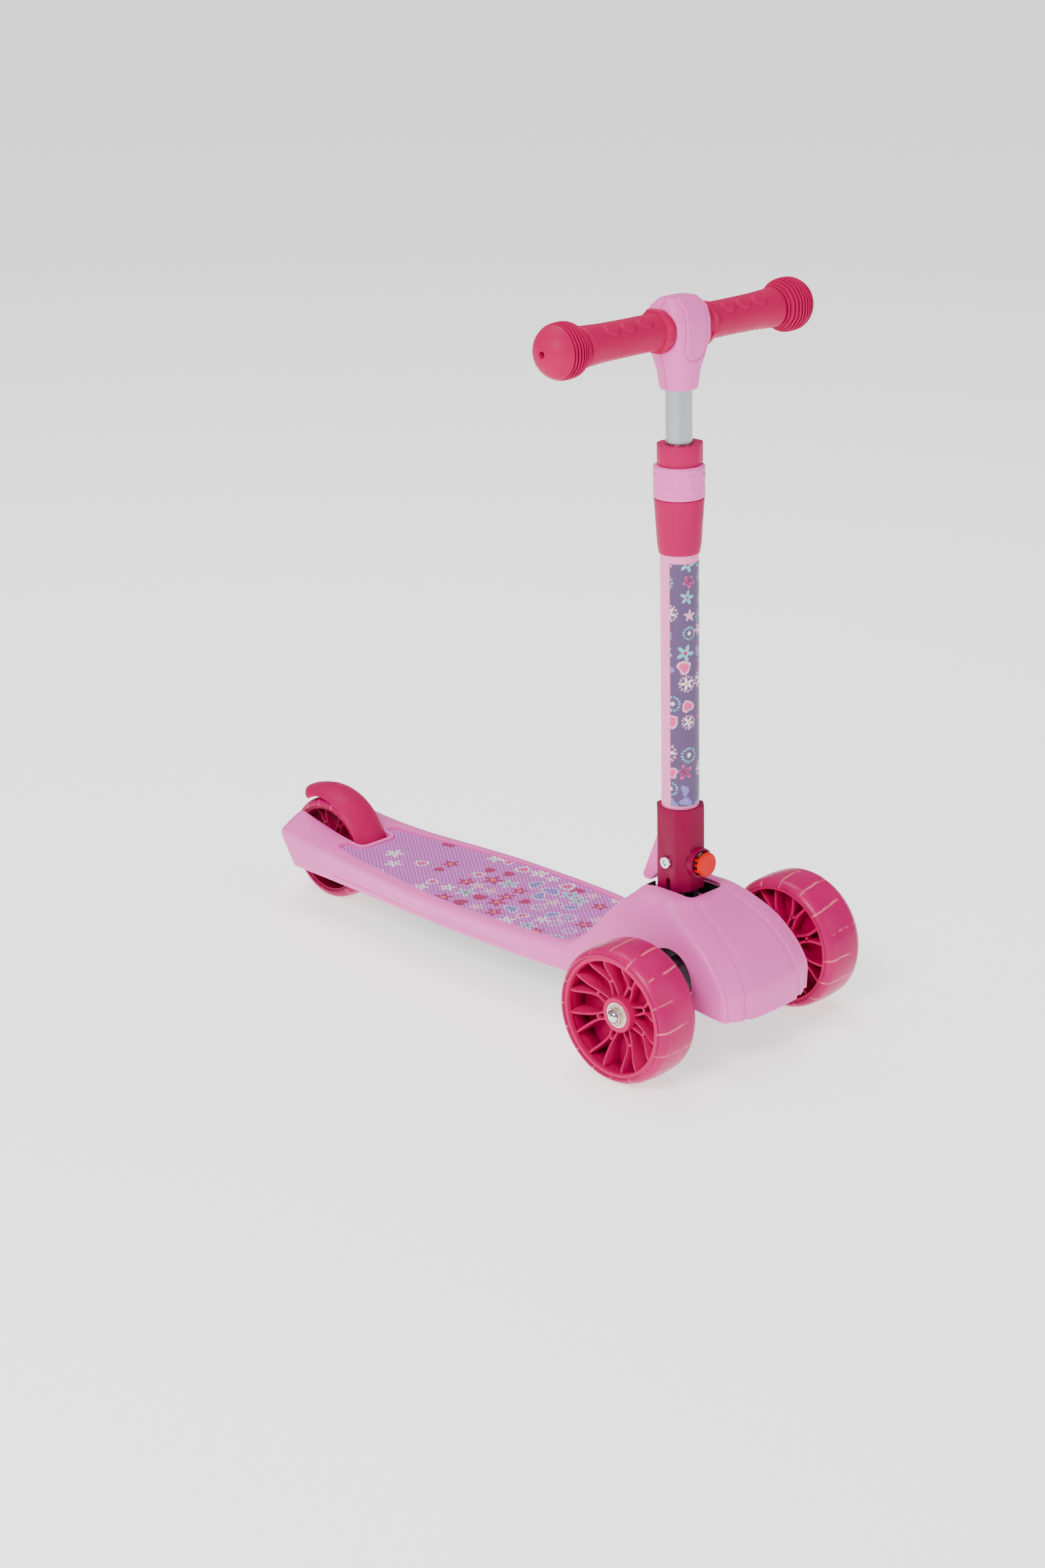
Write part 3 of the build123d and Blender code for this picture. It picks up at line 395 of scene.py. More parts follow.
def modified(mesh, *recipes):
    """The mesh after modifiers, each given as (kind, {setting: value})."""
    holder = placed("work", mesh)
    for kind, settings in recipes:
        modifier = holder.modifiers.new(kind.lower(), kind)
        for key, value in settings.items():
            setattr(modifier, key, value)
    bpy.context.view_layer.update()
    result = bpy.data.meshes.new_from_object(holder.evaluated_get(bpy.context.evaluated_depsgraph_get()))
    bpy.data.objects.remove(holder)
    return result


def rounded(mesh, width, segments, angle):
    """The mesh with its edges rounded over by this width where they turn by more than the angle."""
    return modified(mesh, ("BEVEL", dict(width=width * MM, segments=segments, limit_method="ANGLE",
                                         angle_limit=radians(angle), use_clamp_overlap=True)))


def spline(points, steps):
    """Catmull-Rom curve through points of any length, as a list of tuples."""
    padded = [points[0], *points, points[-1]]
    out = []
    for i in range(len(points) - 1):
        a, b, c, d = padded[i:i + 4]
        for k in range(steps):
            t = k / steps
            point = []
            for p, q, r, s in zip(a, b, c, d):
                bend = 2 * p - 5 * q + 4 * r - s
                twist = 3 * q - p - 3 * r + s
                point.append(0.5 * (2 * q + (r - p) * t + bend * t * t + twist * t ** 3))
            out.append(tuple(point))
    out.append(tuple(points[-1]))
    return out


def ease(value, start, end):
    """Smooth step from 0 at start to 1 at end."""
    t = min(max((value - start) / (end - start), 0.0), 1.0)
    return t * t * (3 - 2 * t)


def hump(value, half):
    """Smooth hill of height 1 at 0 that ends at plus and minus half."""
    return 0.0 if abs(value) >= half else 0.5 + 0.5 * cos(pi * value / half)


def circle(steps):
    return [2 * pi * k / steps for k in range(steps)]


def spun(profile, axis_y, axis_z, steps):
    """Rings of a profile of (x, radius) turned about an axis along X."""
    return [[(x, axis_y + r * cos(t), axis_z + r * sin(t)) for t in circle(steps)] for x, r in profile]


def soften(node, width, material=None):
    """Show a CAD node with its corners rounded over by this width."""
    bm = bmesh.new()
    bm.from_mesh(frame["nodes"][node].data)
    bmesh.ops.remove_doubles(bm, verts=bm.verts, dist=0.008 * MM)
    bmesh.ops.dissolve_limit(bm, angle_limit=radians(1.2), verts=bm.verts, edges=bm.edges, delimit={"NORMAL"})
    mesh = bpy.data.meshes.new(node + "_soft")
    bm.to_mesh(mesh)
    bm.free()
    piece(node + "_skin", rounded(mesh, width, 2, 32), node, material)


# -------- the stem's own frame
PIVOT = Vector(JOINT["stem_fold"]["pos_m"]) / MM
STEM_UP = Vector(JOINT["height_slide"]["axis"]).normalized()
STEM_BACK = Vector((1, 0, 0)).cross(STEM_UP) * -1


def at_stem(x, back, s):
    """Point x to the left, back behind the stem's axis and s above the fold pivot."""
    return tuple(PIVOT + Vector((x, 0, 0)) + STEM_BACK * back + STEM_UP * s)


def around_stem(radius, stations, steps=96, inner=None):
    """Rings round the stem: radius(turn, s) at each station s, where turn 0 is the rider's left."""
    turns = circle(steps)
    rows = [[at_stem(radius(t, s) * cos(t), radius(t, s) * sin(t), s) for t in turns] for s in stations]
    if inner:
        rows += [[at_stem(inner * cos(t), inner * sin(t), s) for t in turns] for s in reversed(stations)]
    return skin(rows, True, "join" if inner else "cap")


def curve_at(points, steps=24):
    """Smooth function of the first coordinate through given points; gives the other coordinates."""
    rows = spline(points, steps)
    starts = [row[0] for row in rows]

    def at(value):
        i = min(max(bisect(starts, value) - 1, 0), len(rows) - 2)
        a, b = rows[i], rows[i + 1]
        t = min(max((value - a[0]) / (b[0] - a[0]), 0.0), 1.0)
        return [p + (q - p) * t for p, q in zip(a[1:], b[1:])]
    return at


def steps_between(start, end, step):
    count = max(1, round((end - start) / step))
    return [start + (end - start) * k / count for k in range(count + 1)]


def corner(distance, radius):
    """How far a rounded corner has pulled in at this distance from the edge."""
    if distance >= radius:
        return 0.0
    return radius - sqrt(radius ** 2 - (radius - max(distance, 0)) ** 2)


def prism(outline, axis, start, end):
    """Solid from an outline of two coordinates, pushed along an axis (0 is X, 2 is Z)."""
    def place(point, level):
        return (level, *point) if axis == 0 else (*point, level)
    return to_mesh("cutter", *skin([[place(p, start) for p in outline], [place(p, end) for p in outline]]))


def carve(mesh, *cutters):
    """The mesh with each cutter's volume taken away."""
    holders = [placed("cutter", cutter) for cutter in cutters]
    result = modified(mesh, *[("BOOLEAN", dict(operation="DIFFERENCE", solver="EXACT", object=holder))
                              for holder in holders])
    for holder in holders:
        bpy.data.objects.remove(holder)
    return result


def paint_print(mesh, colour_at):
    """Store the printed colour of every point in the mesh's own colour attribute."""
    ink = mesh.color_attributes.new("print", "FLOAT_COLOR", "POINT")
    for vert, item in zip(mesh.vertices, ink.data):
        item.color = colour_at(vert.co / MM)


# -------- places taken from the frame
FRONT_Y = JOINT["wheel_left_spin"]["pos_m"][1] / MM
FRONT_R = JOINT["wheel_left_spin"]["pos_m"][2] / MM
REAR_Y = JOINT["wheel_rear_spin"]["pos_m"][1] / MM
REAR_R = JOINT["wheel_rear_spin"]["pos_m"][2] / MM
BAR_Y = middle("bar_tube").y
BAR_Z = middle("bar_tube").z


# -------- printed motifs
def flower(u, v):
    r = hypot(u, v)
    return r < 0.66 + 0.34 * cos(5 * atan2(v, u))


def heart(u, v):
    u, v = u * 1.25, v * 1.25 + 0.15
    return (u * u + v * v - 1) ** 3 - u * u * v ** 3 < 0


def star(u, v):
    turn = (atan2(v, u) + pi / 10) % (2 * pi / 5) - pi / 5
    return hypot(u, v) * cos(turn) < 0.38 + 0.52 * abs(turn) / (pi / 5)


def cloud(u, v):
    puffs = ((-0.5, -0.2, 0.42), (0, 0.1, 0.58), (0.52, -0.18, 0.45))
    return v > -0.5 and any(hypot(u - x, v - y) < r for x, y, r in puffs)


def disc(u, v):
    return hypot(u, v) < 0.8


def ring_of_dots(u, v):
    r = hypot(u, v)
    return abs(r - 0.85) < 0.14 and cos(14 * atan2(v, u)) > 0.0


SHAPES = {"flower": flower, "heart": heart, "star": star, "cloud": cloud, "disc": disc, "dots": ring_of_dots}


CELLS_OUT = 40               # cells laid out each way from the middle


class Print:
    """Motifs scattered one to a cell; each is a pile of layers (shape, size, colour)."""

    def __init__(self, seed, cell, piles, density, base):
        self.cell = cell
        self.base = base
        self.spots = {}
        draw = Random(seed)
        cells = range(-CELLS_OUT, CELLS_OUT + 1)
        for i in cells:
            for j in cells:
                centre = ((i + 0.5 + draw.uniform(-0.2, 0.2)) * cell,
                          (j + 0.5 + draw.uniform(-0.2, 0.2)) * cell)
                pile = draw.choice(piles)
                gain = draw.uniform(0.8, 1.12)
                turn = draw.uniform(0, 2 * pi)
                shown = draw.random() < density(*centre)
                if shown:
                    self.spots[i, j] = (centre, pile, gain * cell * 0.5, cos(turn), sin(turn))

    def __call__(self, u, v):
        i, j = floor(u / self.cell), floor(v / self.cell)
        for a in (i - 1, i, i + 1):
            for b in (j - 1, j, j + 1):
                spot = self.spots.get((a, b))
                if spot:
                    (cu, cv), pile, size, c, s = spot
                    du, dv = (u - cu) / size, (v - cv) / size
                    if du * du + dv * dv < 1.3:
                        ru, rv = c * du + s * dv, c * dv - s * du
                        for shape, scale, colour in pile:
                            if SHAPES[shape](ru / scale, rv / scale):
                                return colour
        return self.base


# -------- CAD pieces that stay
for name, node in frame["nodes"].items():
    if not node.material_slots:
        node.data.materials.append(None)
    for socket in node.material_slots:
        socket.material = MATERIAL[SLOT_OF[name]]

# -------- wheels
RIM_R = 53.0
DISH_IN = (24.0, 116.0)      # radius and distance out of the spokes' front edge near the boss
DISH_OUT = (48.8, 126.5)     # the same at the rim's lip
STEP_IN, STEP_UP = 0.6, 1.2  # a tyre's fine step against the rim


def tyre_profile(x0, x1, inner, outer, shoulder, crown):
    """Closed section of a tyre: crowned tread, round shoulders and a fine step against the rim."""
    half = (x1 - x0) / 2
    centre = (x0 + x1) / 2
    right = [(half - STEP_IN, inner), (half - STEP_IN, inner + STEP_UP), (half, inner + STEP_UP + 0.3)]
    for turn in steps_between(0, pi / 2, pi / 16):
        right.append((half - shoulder + shoulder * cos(turn), outer - crown - shoulder + shoulder * sin(turn)))
    for k in range(1, 5):
        x = (half - shoulder) * (1 - k / 5)
        right.append((x, outer - crown * (x / (half - shoulder)) ** 2))
    right = [p for p in right if p[1] >= inner]
    profile = right + [(0, outer)] + [(-x, r) for x, r in reversed(right)]
    return [(centre + x, r) for x, r in profile]


def shell_of(name, profile, axis_y, axis_z, steps=128):
    return to_mesh(name, *skin(spun(profile, axis_y, axis_z, steps), True, "join"))


front_tyre_stuff = clear_tyre("clear_tyre_front", rgb(182, 0, 92), FRONT_Y * MM, FRONT_R * MM)
# painted shade: this dark red is laid deep inside the front hubs, towards the web
hub_stuff = moulded("hub_plastic", rgb(186, 0, 84), 0.34, gloss=0.14, painted_shade=rgb(104, 0, 30))
rear_hub_stuff = moulded("rear_hub_plastic", rgb(150, 0, 60), 0.36, gloss=0.14)
rear_tyre_stuff = clear_tyre("clear_tyre_rear", rgb(182, 0, 92), REAR_Y * MM, REAR_R * MM)


SPOKE_BACK = 93.0
SPOKE_T = 2.3
BRIDGE_T = 2.6
BRIDGE = ((27.2, -2.2), (28.4, 0), (27.2, 2.2))
PAIRS = 8
WEB_HALF, WEB_IN, WEB_OUT = 0.8, 14.6, 50.6
PAIR_LINE = spline(((14, 3.5), (20, 3.1), (27, 2.6), (33, 3.4), (40, 5.8), (46, 8.2), (51.5, 9.9)), 5)


def front_edge(r):
    """How far out the spokes reach at radius r: they slope from the boss out to the rim's lip."""
    return DISH_IN[1] + (DISH_OUT[1] - DISH_IN[1]) * ease(r, DISH_IN[0], DISH_OUT[0])


def wall(line, side, turn, thickness):
    """Rib along a line of (radius, offset), turned about the axle, with a rounded front edge."""
    rows = []
    for i, (r, offset) in enumerate(line):
        before = Vector(line[max(i - 1, 0)])
        after = Vector(line[min(i + 1, len(line) - 1)])
        along = (after - before).normalized()
        out = Vector((-along.y, along.x)) * thickness / 2
        front = front_edge(r)
        row = []
        for u, x in ((-1, SPOKE_BACK), (-1, front - 0.8), (-0.75, front - 0.2), (0, front), (0.75, front - 0.2),
                     (1, front - 0.8), (1, SPOKE_BACK)):
            a, b = r + out.x * u, offset + out.y * u
            y, z = a * cos(turn) - b * sin(turn), a * sin(turn) + b * cos(turn)
            row.append((side * x, FRONT_Y + y, FRONT_R + z))
        rows.append(row)
    return skin(rows)


def joined(name, *parts):
    """One mesh from several lists of points and faces."""
    verts, faces = [], []
    for points, polygons in parts:
        faces += [tuple(len(verts) + k for k in face) for face in polygons]
        verts += points
    return to_mesh(name, verts, faces)


def front_hub(side):
    """Rim, boss and web as turned rings of (distance out, radius), with pairs of ribs joined at the waist."""
    rim = [(85.5, 50.5), (86, 50.2), (124, 50.2), (124.3, 49), (124.8, 48.8), (128.2, 48.8), (129.2, 49.4),
           (129.4, 50.6), (129.0, 52.8), (85.5, 52.9)]
    boss = [(94, 11.05), (94, 15), (94.5, 15.5), (120.5, 15.5), (121.3, 15.1), (121.6, 14.4), (121.5, 11.05)]
    web = [(WEB_AT - WEB_HALF, WEB_IN), (WEB_AT - WEB_HALF, WEB_OUT),
           (WEB_AT + WEB_HALF, WEB_OUT), (WEB_AT + WEB_HALF, WEB_IN)]
    parts = [skin(spun([(side * x, r) for x, r in profile], FRONT_Y, FRONT_R, 128), True, "join")
             for profile in (rim, boss, web)]
    for i in range(PAIRS):
        turn = 2 * pi * (i + 0.5) / PAIRS
        for hand in (-1, 1):
            parts.append(wall([(r, hand * offset) for r, offset in PAIR_LINE], side, turn, SPOKE_T))
        parts.append(wall(BRIDGE, side, turn, BRIDGE_T))
    return joined("front_hub", *parts)


for hand, side in (("left", 1), ("right", -1)):
    wheel = f"front_{hand}_"
    box_low, box_high = low(wheel + "tyre"), high(wheel + "tyre")
    section = tyre_profile(box_low.x, box_high.x, RIM_R, FRONT_R, 9.5, 0.7)
    piece(wheel + "tyre_cast", shell_of("tyre", section, FRONT_Y, FRONT_R), wheel + "tyre", front_tyre_stuff)
    piece(wheel + "hub_moulding", front_hub(side), wheel + "hub", hub_stuff)
    soften(wheel + "bearings", 0.25, chrome)
    soften(wheel + "axle", 0.35, chrome)
    shield_out = side * 121.3
    shield_in = side * 120.9
    face = [(shield_in, 6.3), (shield_out, 6.6), (shield_out, 9.0), (shield_in, 9.3)]
    trim(wheel + "bearing_shield", shell_of("shield", face, FRONT_Y, FRONT_R, 48), wheel + "bearings", shield)

tyre_low, tyre_high = low("rear_tyre"), high("rear_tyre")
section = tyre_profile(tyre_low.x, tyre_high.x, 42.0, REAR_R, 6.5, 0.8)
piece("rear_tyre_cast", shell_of("tyre", section, REAR_Y, REAR_R), "rear_tyre", rear_tyre_stuff)
soften("rear_hub", 0.5, rear_hub_stuff)
soften("rear_bearings", 0.25, chrome)

# -------- deck
# distance behind the front axle, half width at the bottom and at the lip, lip height, middle height
DECK_STATIONS = ((104, 45, 53.5, 66.6, 66.6), (118, 46, 56, 67.5, 67.5),
                 (166, 50, 62.5, 67.5, 67.5), (205, 51.5, 65, 67.5, 67.5),
                 (250, 52, 65.5, 67.5, 67.5), (295, 51.5, 65, 67.5, 67.5), (335, 50, 62, 67.5, 67.5),
                 (372, 48, 58, 67.5, 67.5), (410, 46.5, 54, 67.7, 67.7), (450, 45.5, 51, 69.5, 72),
                 (485, 45, 49.5, 72.5, 79), (513, 44, 48, 75, 86))
DECK_AT = curve_at(DECK_STATIONS)
MAT_HALF = curve_at(((127, 47), (168, 53), (210, 56), (270, 57), (350, 49), (438, 36.5)))
DECK_BOTTOM = 37.5
TRAY_TOP = 40.0
MAT_FLOOR = low("deck_mat").z
MAT_TOP = high("deck_mat").z
MAT_FRONT, MAT_BACK = 127.0, 438.0
NOTCH_FRONT, NOTCH_HALF, NOTCH_R = 419.0, 23.5, 10.0
SLOT_FRONT, SLOT_HALF, SLOT_R = 422.5, 20.0, 8.0
TAIL_SOLID, POCKET_FRONT, POCKET_TOP = 371.0, 403.0, 62.3
DECK_START, DECK_END = 104.0, 513.0
SLANT_FROM = 462.0
TAIL_ROUND = 13.0
FOOT_Y, FOOT_Z = 488.0, 30.0 # foot of the tail's slanting end, which leans back by FOOT_RUN in FOOT_RISE
FOOT_RUN, FOOT_RISE = 25.0, 45.0
PANEL_DEEP, PANEL_FROM, PANEL_TO = 1.1, 176.0, 438.0


def mat_half(y):
    pulled = max(corner(y - MAT_FRONT, 8.0), corner(MAT_BACK - y, 4.0))
    return MAT_HALF(y)[0] - pulled


def notch_half(y):
    """Inner edge of the mat beside the wheel slot."""
    if y < NOTCH_FRONT:
        return NOTCH_HALF - NOTCH_R
    return NOTCH_HALF - corner(y - NOTCH_FRONT, NOTCH_R)


def deck_row(y, slot_in, ridge, hollow):
    """Half cross-section of the board, from the bottom edge up and over to the middle and back underneath."""
    low_half, wide, lip, mid = DECK_AT(y)
    pulled = corner(DECK_END - y + 0.3, TAIL_ROUND)
    lip, mid, wide = lip - pulled, mid - pulled, wide - pulled * 0.25
    matted = MAT_FRONT <= y <= MAT_BACK
    panel = PANEL_DEEP * ease(y, PANEL_FROM, PANEL_FROM + 8) * (1 - ease(y, PANEL_TO - 10, PANEL_TO))

    def side_x(z):
        return low_half + (wide - low_half) * min((z - DECK_BOTTOM) / (lip - 7 - DECK_BOTTOM), 1)

    def top(x):
        return lip + (mid - lip) * min(max((wide - 2 - x) / (wide - 2 - SLOT_HALF - 2), 0), 1)

    outer = mat_half(y) + 0.3
    inner = notch_half(y) - 0.2
    under = MAT_FLOOR - 3 if hollow else TRAY_TOP
    step_x = side_x(58) - 3 if hollow else SLOT_HALF
    if y >= POCKET_FRONT and not hollow:
        under = POCKET_TOP
    floor_z = MAT_FLOOR if matted else top(outer)
    middle_z = top(slot_in) if ridge or not matted else MAT_FLOOR
    points = [
        (low_half - 3, DECK_BOTTOM), (low_half, DECK_BOTTOM),
        (side_x(43), 43), (side_x(44.2) - panel, 44.2),
        (side_x(lip - 14.2) - panel, lip - 14.2), (side_x(lip - 13), lip - 13),
        (wide, lip - 7), (wide, lip - 2.6), (wide - 0.8, lip - 0.9), (wide - 2.6, lip),
        (outer, top(outer)), (outer, floor_z), (inner, MAT_FLOOR if matted else top(inner)),
        (inner, top(inner) if ridge or not matted else MAT_FLOOR),
        (slot_in, middle_z), (slot_in, under), (step_x, under), (step_x, 58 if hollow else TRAY_TOP),
        (low_half - 3, TRAY_TOP),
    ]
    row = []
    for x, z in points:
        at = y
        if y >= SLANT_FROM:
            end = min(FOOT_Y + (z - FOOT_Z) * FOOT_RUN / FOOT_RISE, DECK_END)
            at = SLANT_FROM + (end - SLANT_FROM) * (y - SLANT_FROM) / (DECK_END - SLANT_FROM)
        row.append((x, FRONT_Y + at, z))
    return row


def mirrored_mesh(name, rows):
    """Half rows closed into a ring, mirrored across the centre plane and welded without an inner wall."""
    verts, faces = skin(rows)
    count = len(verts)
    both = verts + [(-x, y, z) for x, y, z in verts]
    faces = faces + [tuple(count + k for k in reversed(face)) for face in faces]
    mesh = to_mesh(name, both, faces, 0.01)
    bm = bmesh.new()
    bm.from_mesh(mesh)
    inner = [face for face in bm.faces if all(abs(vert.co.x) < 1e-6 for vert in face.verts)]
    bmesh.ops.delete(bm, geom=inner, context="FACES")
    bmesh.ops.recalc_face_normals(bm, faces=bm.faces)
    bm.to_mesh(mesh)
    bm.free()
    return mesh


def deck():
    runs = (
        (DECK_START, MAT_FRONT - 0.05, 3, "hollow"), (MAT_FRONT, MAT_FRONT + 8, 1, "hollow"),
        (MAT_FRONT + 9, TAIL_SOLID, 4, "hollow"), (TAIL_SOLID, POCKET_FRONT - 0.05, 4, "solid"),
        (POCKET_FRONT, NOTCH_FRONT - 0.01, 4, "solid"), (NOTCH_FRONT, SLOT_FRONT, 0.7, "ridged"),
        (SLOT_FRONT, SLOT_FRONT + SLOT_R, 0.7, "slotted"),
        (SLOT_FRONT + SLOT_R + 1, MAT_BACK - 4, 1, "slotted"),
        (MAT_BACK - 3.5, MAT_BACK, 0.5, "slotted"),
        (MAT_BACK + 0.05, DECK_END - 14, 3, "slotted"), (DECK_END - 13, DECK_END, 0.9, "slotted"),
    )
    rows = []
    for start, end, step, kind in runs:
        for y in steps_between(start, end, step):
            slot_in = SLOT_HALF - corner(y - SLOT_FRONT, SLOT_R) if kind == "slotted" else 0
            rows.append(deck_row(y, slot_in, kind in ("ridged", "slotted"), kind == "hollow"))
    mesh = rounded(mirrored_mesh("deck", rows), 0.9, 3, 38)
    piece("deck_shell_moulding", mesh, "deck_shell")


deck()

# -------- foot mat
RIB_RISE = 0.4
MAT_BORDER = 3.0
PATCH_FROM, PATCH_TO, PATCH_HALF = 392.0, 416.0, 15.0
PRINT_THINS = 300.0          # the mat's motifs are fewer from here back


def mat_rise(x, y):
    """Height below the mat's top: a smooth border, slanting ribs, and a crossed patch near the back."""
    edge = min(mat_half(y) - abs(x), y - MAT_FRONT, MAT_BACK - y)
    if y > NOTCH_FRONT - 12:
        edge = min(edge, max(abs(x) - notch_half(y), NOTCH_FRONT - y))
    rib = 0.5 + 0.5 * cos(2 * pi * (RIB_X * x - RIB_Y * (FRONT_Y + y)) / RIB_PITCH)
    if PATCH_FROM < y < PATCH_TO and abs(x) < PATCH_HALF:
        cross = 0.5 + 0.5 * cos(2 * pi * (RIB_X * x + RIB_Y * (FRONT_Y + y)) / RIB_PITCH)
        rib = max(rib, cross)
    inside = ease(edge, MAT_BORDER - 0.4, MAT_BORDER + 0.4)
    rounded = corner(edge + 0.15, 0.9)
    return -RIB_RISE * (1 - rib) * inside - rounded * (1 - inside)


def foot_mat():
    """Ribbed top, with a skirt and a bottom made face by face, so that their order is the same in each run."""
    rows_out = steps_between(MAT_FRONT, MAT_BACK, 0.8)
    split = NOTCH_HALF - NOTCH_R
    verts, faces = [], []
    for side in (-1, 1):
        for first, last, columns, y_end in ((0, None, 18, NOTCH_FRONT), (None, 1, 58, MAT_BACK)):
            rows = []
            for y in [y for y in rows_out if y <= y_end]:
                x0 = 0 if first == 0 else notch_half(y)
                x1 = split if first == 0 else mat_half(y)
                if first is None:
                    x0 += corner(MAT_BACK - y, 4.0)
                rows.append([(side * (x0 + (x1 - x0) * k / columns), y) for k in range(columns + 1)])
            points = [[(x, FRONT_Y + y, MAT_TOP + mat_rise(x, y)) for x, y in row] for row in rows]
            v, f = skin(points, False, "open")
            faces += [tuple(len(verts) + k for k in face) for face in f]
            verts += v
    mesh = to_mesh("foot_mat", verts, faces, 0.02)
    bm = bmesh.new()
    bm.from_mesh(mesh)
    rim = [tuple(edge.verts) for edge in bm.edges if edge.is_boundary]
    lower = {}
    for vert in (vert for pair in rim for vert in pair):
        if vert not in lower:
            lower[vert] = bm.verts.new((vert.co.x, vert.co.y, (MAT_FLOOR + 0.05) * MM))
    for a, b in rim:
        bm.faces.new((a, b, lower[b], lower[a]))
    bmesh.ops.edgeloop_fill(bm, edges=[bm.edges.get((lower[a], lower[b])) for a, b in rim])
    bmesh.ops.recalc_face_normals(bm, faces=bm.faces)
    bm.to_mesh(mesh)
    bm.free()
    piles = (
        [("disc", 0.2, ORANGE), ("flower", 0.95, WHITE)],
        [("disc", 0.22, HOT_PINK), ("flower", 0.8, AQUA), ("flower", 1.0, WHITE)],
        [("heart", 0.6, ROSE), ("heart", 0.85, WHITE)],
        [("star", 0.9, PALE_ROSE)],
        [("cloud", 0.9, BLUE), ("cloud", 1.08, WHITE)],
        [("disc", 0.3, AQUA), ("dots", 0.9, WHITE)],
        [("heart", 0.75, HOT_PINK)],
        [("disc", 0.3, ORANGE), ("star", 1.0, HOT_PINK)],
    )
    pattern = Print(seed=5, cell=19.0, piles=piles, base=LILAC,
                    density=lambda u, v: 0.95 if v < FRONT_Y + PRINT_THINS else 0.35)
    paint_print(mesh, lambda at: pattern(at.x, at.y))
    piece("foot_mat", mesh, "deck_mat", sharp=60)


foot_mat()
soften("deck_undertray", 0.5)
soften("undertray_screws", 0.4)

# -------- hood
# height, nose, half width of the middle band, half width, rear edge (from the front axle)
HOOD_STATIONS = ((37.5, -70, 31, 54, 117.6), (50, -70, 30.4, 54.8, 117.6), (62.5, -69.7, 29.4, 55.8, 117.6),
                 (66.4, -69.3, 29, 56, 125.6), (68.2, -69, 29, 56, 125), (74, -67.5, 28, 56, 116),
                 (84, -62, 27.5, 55.5, 104), (94, -54, 26.5, 54.5, 95), (104, -44, 25, 53, 87),
                 (112, -33, 23.5, 51, 80), (119, -20, 21.5, 48, 73),
                 (125, -8, 19, 44, 66.5), (130, 3, 17, 38, 60), (133.5, 12, 15, 29, 53))
BAND_STEP = 2.2
HOOD_WALL, HOOD_ROOF = 2.6, 2.4
CUT_HALF = 80                # cutters across the hood reach this far to each side
LOWER_EDGE = ((-80, 20), (-80, 46), (-30, 52), (36, 52), (60, 30), (60, 20))
ARCH_Y, ARCH_Z, ARCH_R, ARCH_FOOT = 2, 71, 27, 40


def hood_outline(nose, band, wide, rear):
    """Level outline of the hood with its raised middle band."""
    front = [(0, nose), (band * 0.55, nose + 0.4), (band - 1, nose + 1.3)]
    flank = [(band + 1.2, nose + 1.4 + BAND_STEP), (band + 5.5, nose + 2.4 + BAND_STEP), (band + 8, nose + 4),
             (wide - 7, nose + 9), (wide, nose + 18), (wide, (nose + rear) / 2),
             (wide, rear - 14), (wide - 10, rear - 2.4), (8, rear), (0, rear)]
    half = spline(front, 6) + spline(flank, 6)
    return half + [(-x, y) for x, y in reversed(half[1:-1])]


HOOD_TOP = 127.6             # above this height the skin turns in to the opening
MOUTH_Y = FRONT_Y + 35.0
MOUTH_HALF_X, MOUTH_HALF_Y, MOUTH_R = 21.5, 27.0, 7.0
MOUTH_Z, FALL_FRONT, FALL_BACK = 133.4, 1.3, 3.7


def mouth_point(x, y):
    """Point of the opening's rounded rim in the direction of x, y."""
    turn = atan2(y - MOUTH_Y, x)
    c, s = cos(turn), sin(turn)
    reach = min(MOUTH_HALF_X / max(abs(c), 1e-6), MOUTH_HALF_Y / max(abs(s), 1e-6))
    cx, cy = MOUTH_HALF_X - MOUTH_R, MOUTH_HALF_Y - MOUTH_R
    if abs(reach * c) > cx and abs(reach * s) > cy:
        near = abs(c) * cx + abs(s) * cy
        reach = near + sqrt(max(near ** 2 - cx * cx - cy * cy + MOUTH_R ** 2, 0))
    px, py = reach * c, reach * s
    fall = FALL_FRONT if py < 0 else FALL_BACK
    return px, MOUTH_Y + py, MOUTH_Z - fall * abs(py / MOUTH_HALF_Y) ** 3


def hood_rows(inset, drop):
    """Level outlines from the bottom up to the opening's rim; inset and drop make the inner surface."""
    bottom = HOOD_STATIONS[0][0]
    rows = []
    for z, nose, band, wide, rear in spline(HOOD_STATIONS, 6):
        level = z - drop if z > bottom else z
        if z > HOOD_TOP or bottom < z < bottom + 2 * drop:
            continue
        back = min(rear, HOOD_STATIONS[0][4]) - inset if inset else rear
        outline = hood_outline(nose + inset, band - inset / 2, wide - inset, back)
        rows.append([(x, FRONT_Y + y, level) for x, y in outline])
    last = rows[-1]
    for k in range(1, 13):
        t = k / 12
        row = []
        for x, y, z in last:
            px, py, pz = mouth_point(x, y)
            rise = 1 - (1 - t) ** 2.4
            row.append((x + (px - x) * t, y + (py - y) * t, z + (pz - drop - z) * rise))
        rows.append(row)
    return rows


def block(half, front, back, bottom, top):
    """Upright box across the centre plane; front and back are distances behind the front axle."""
    corners = ((-half, front), (half, front), (half, back), (-half, back))
    return prism([(x, FRONT_Y + y) for x, y in corners], 2, bottom, top)


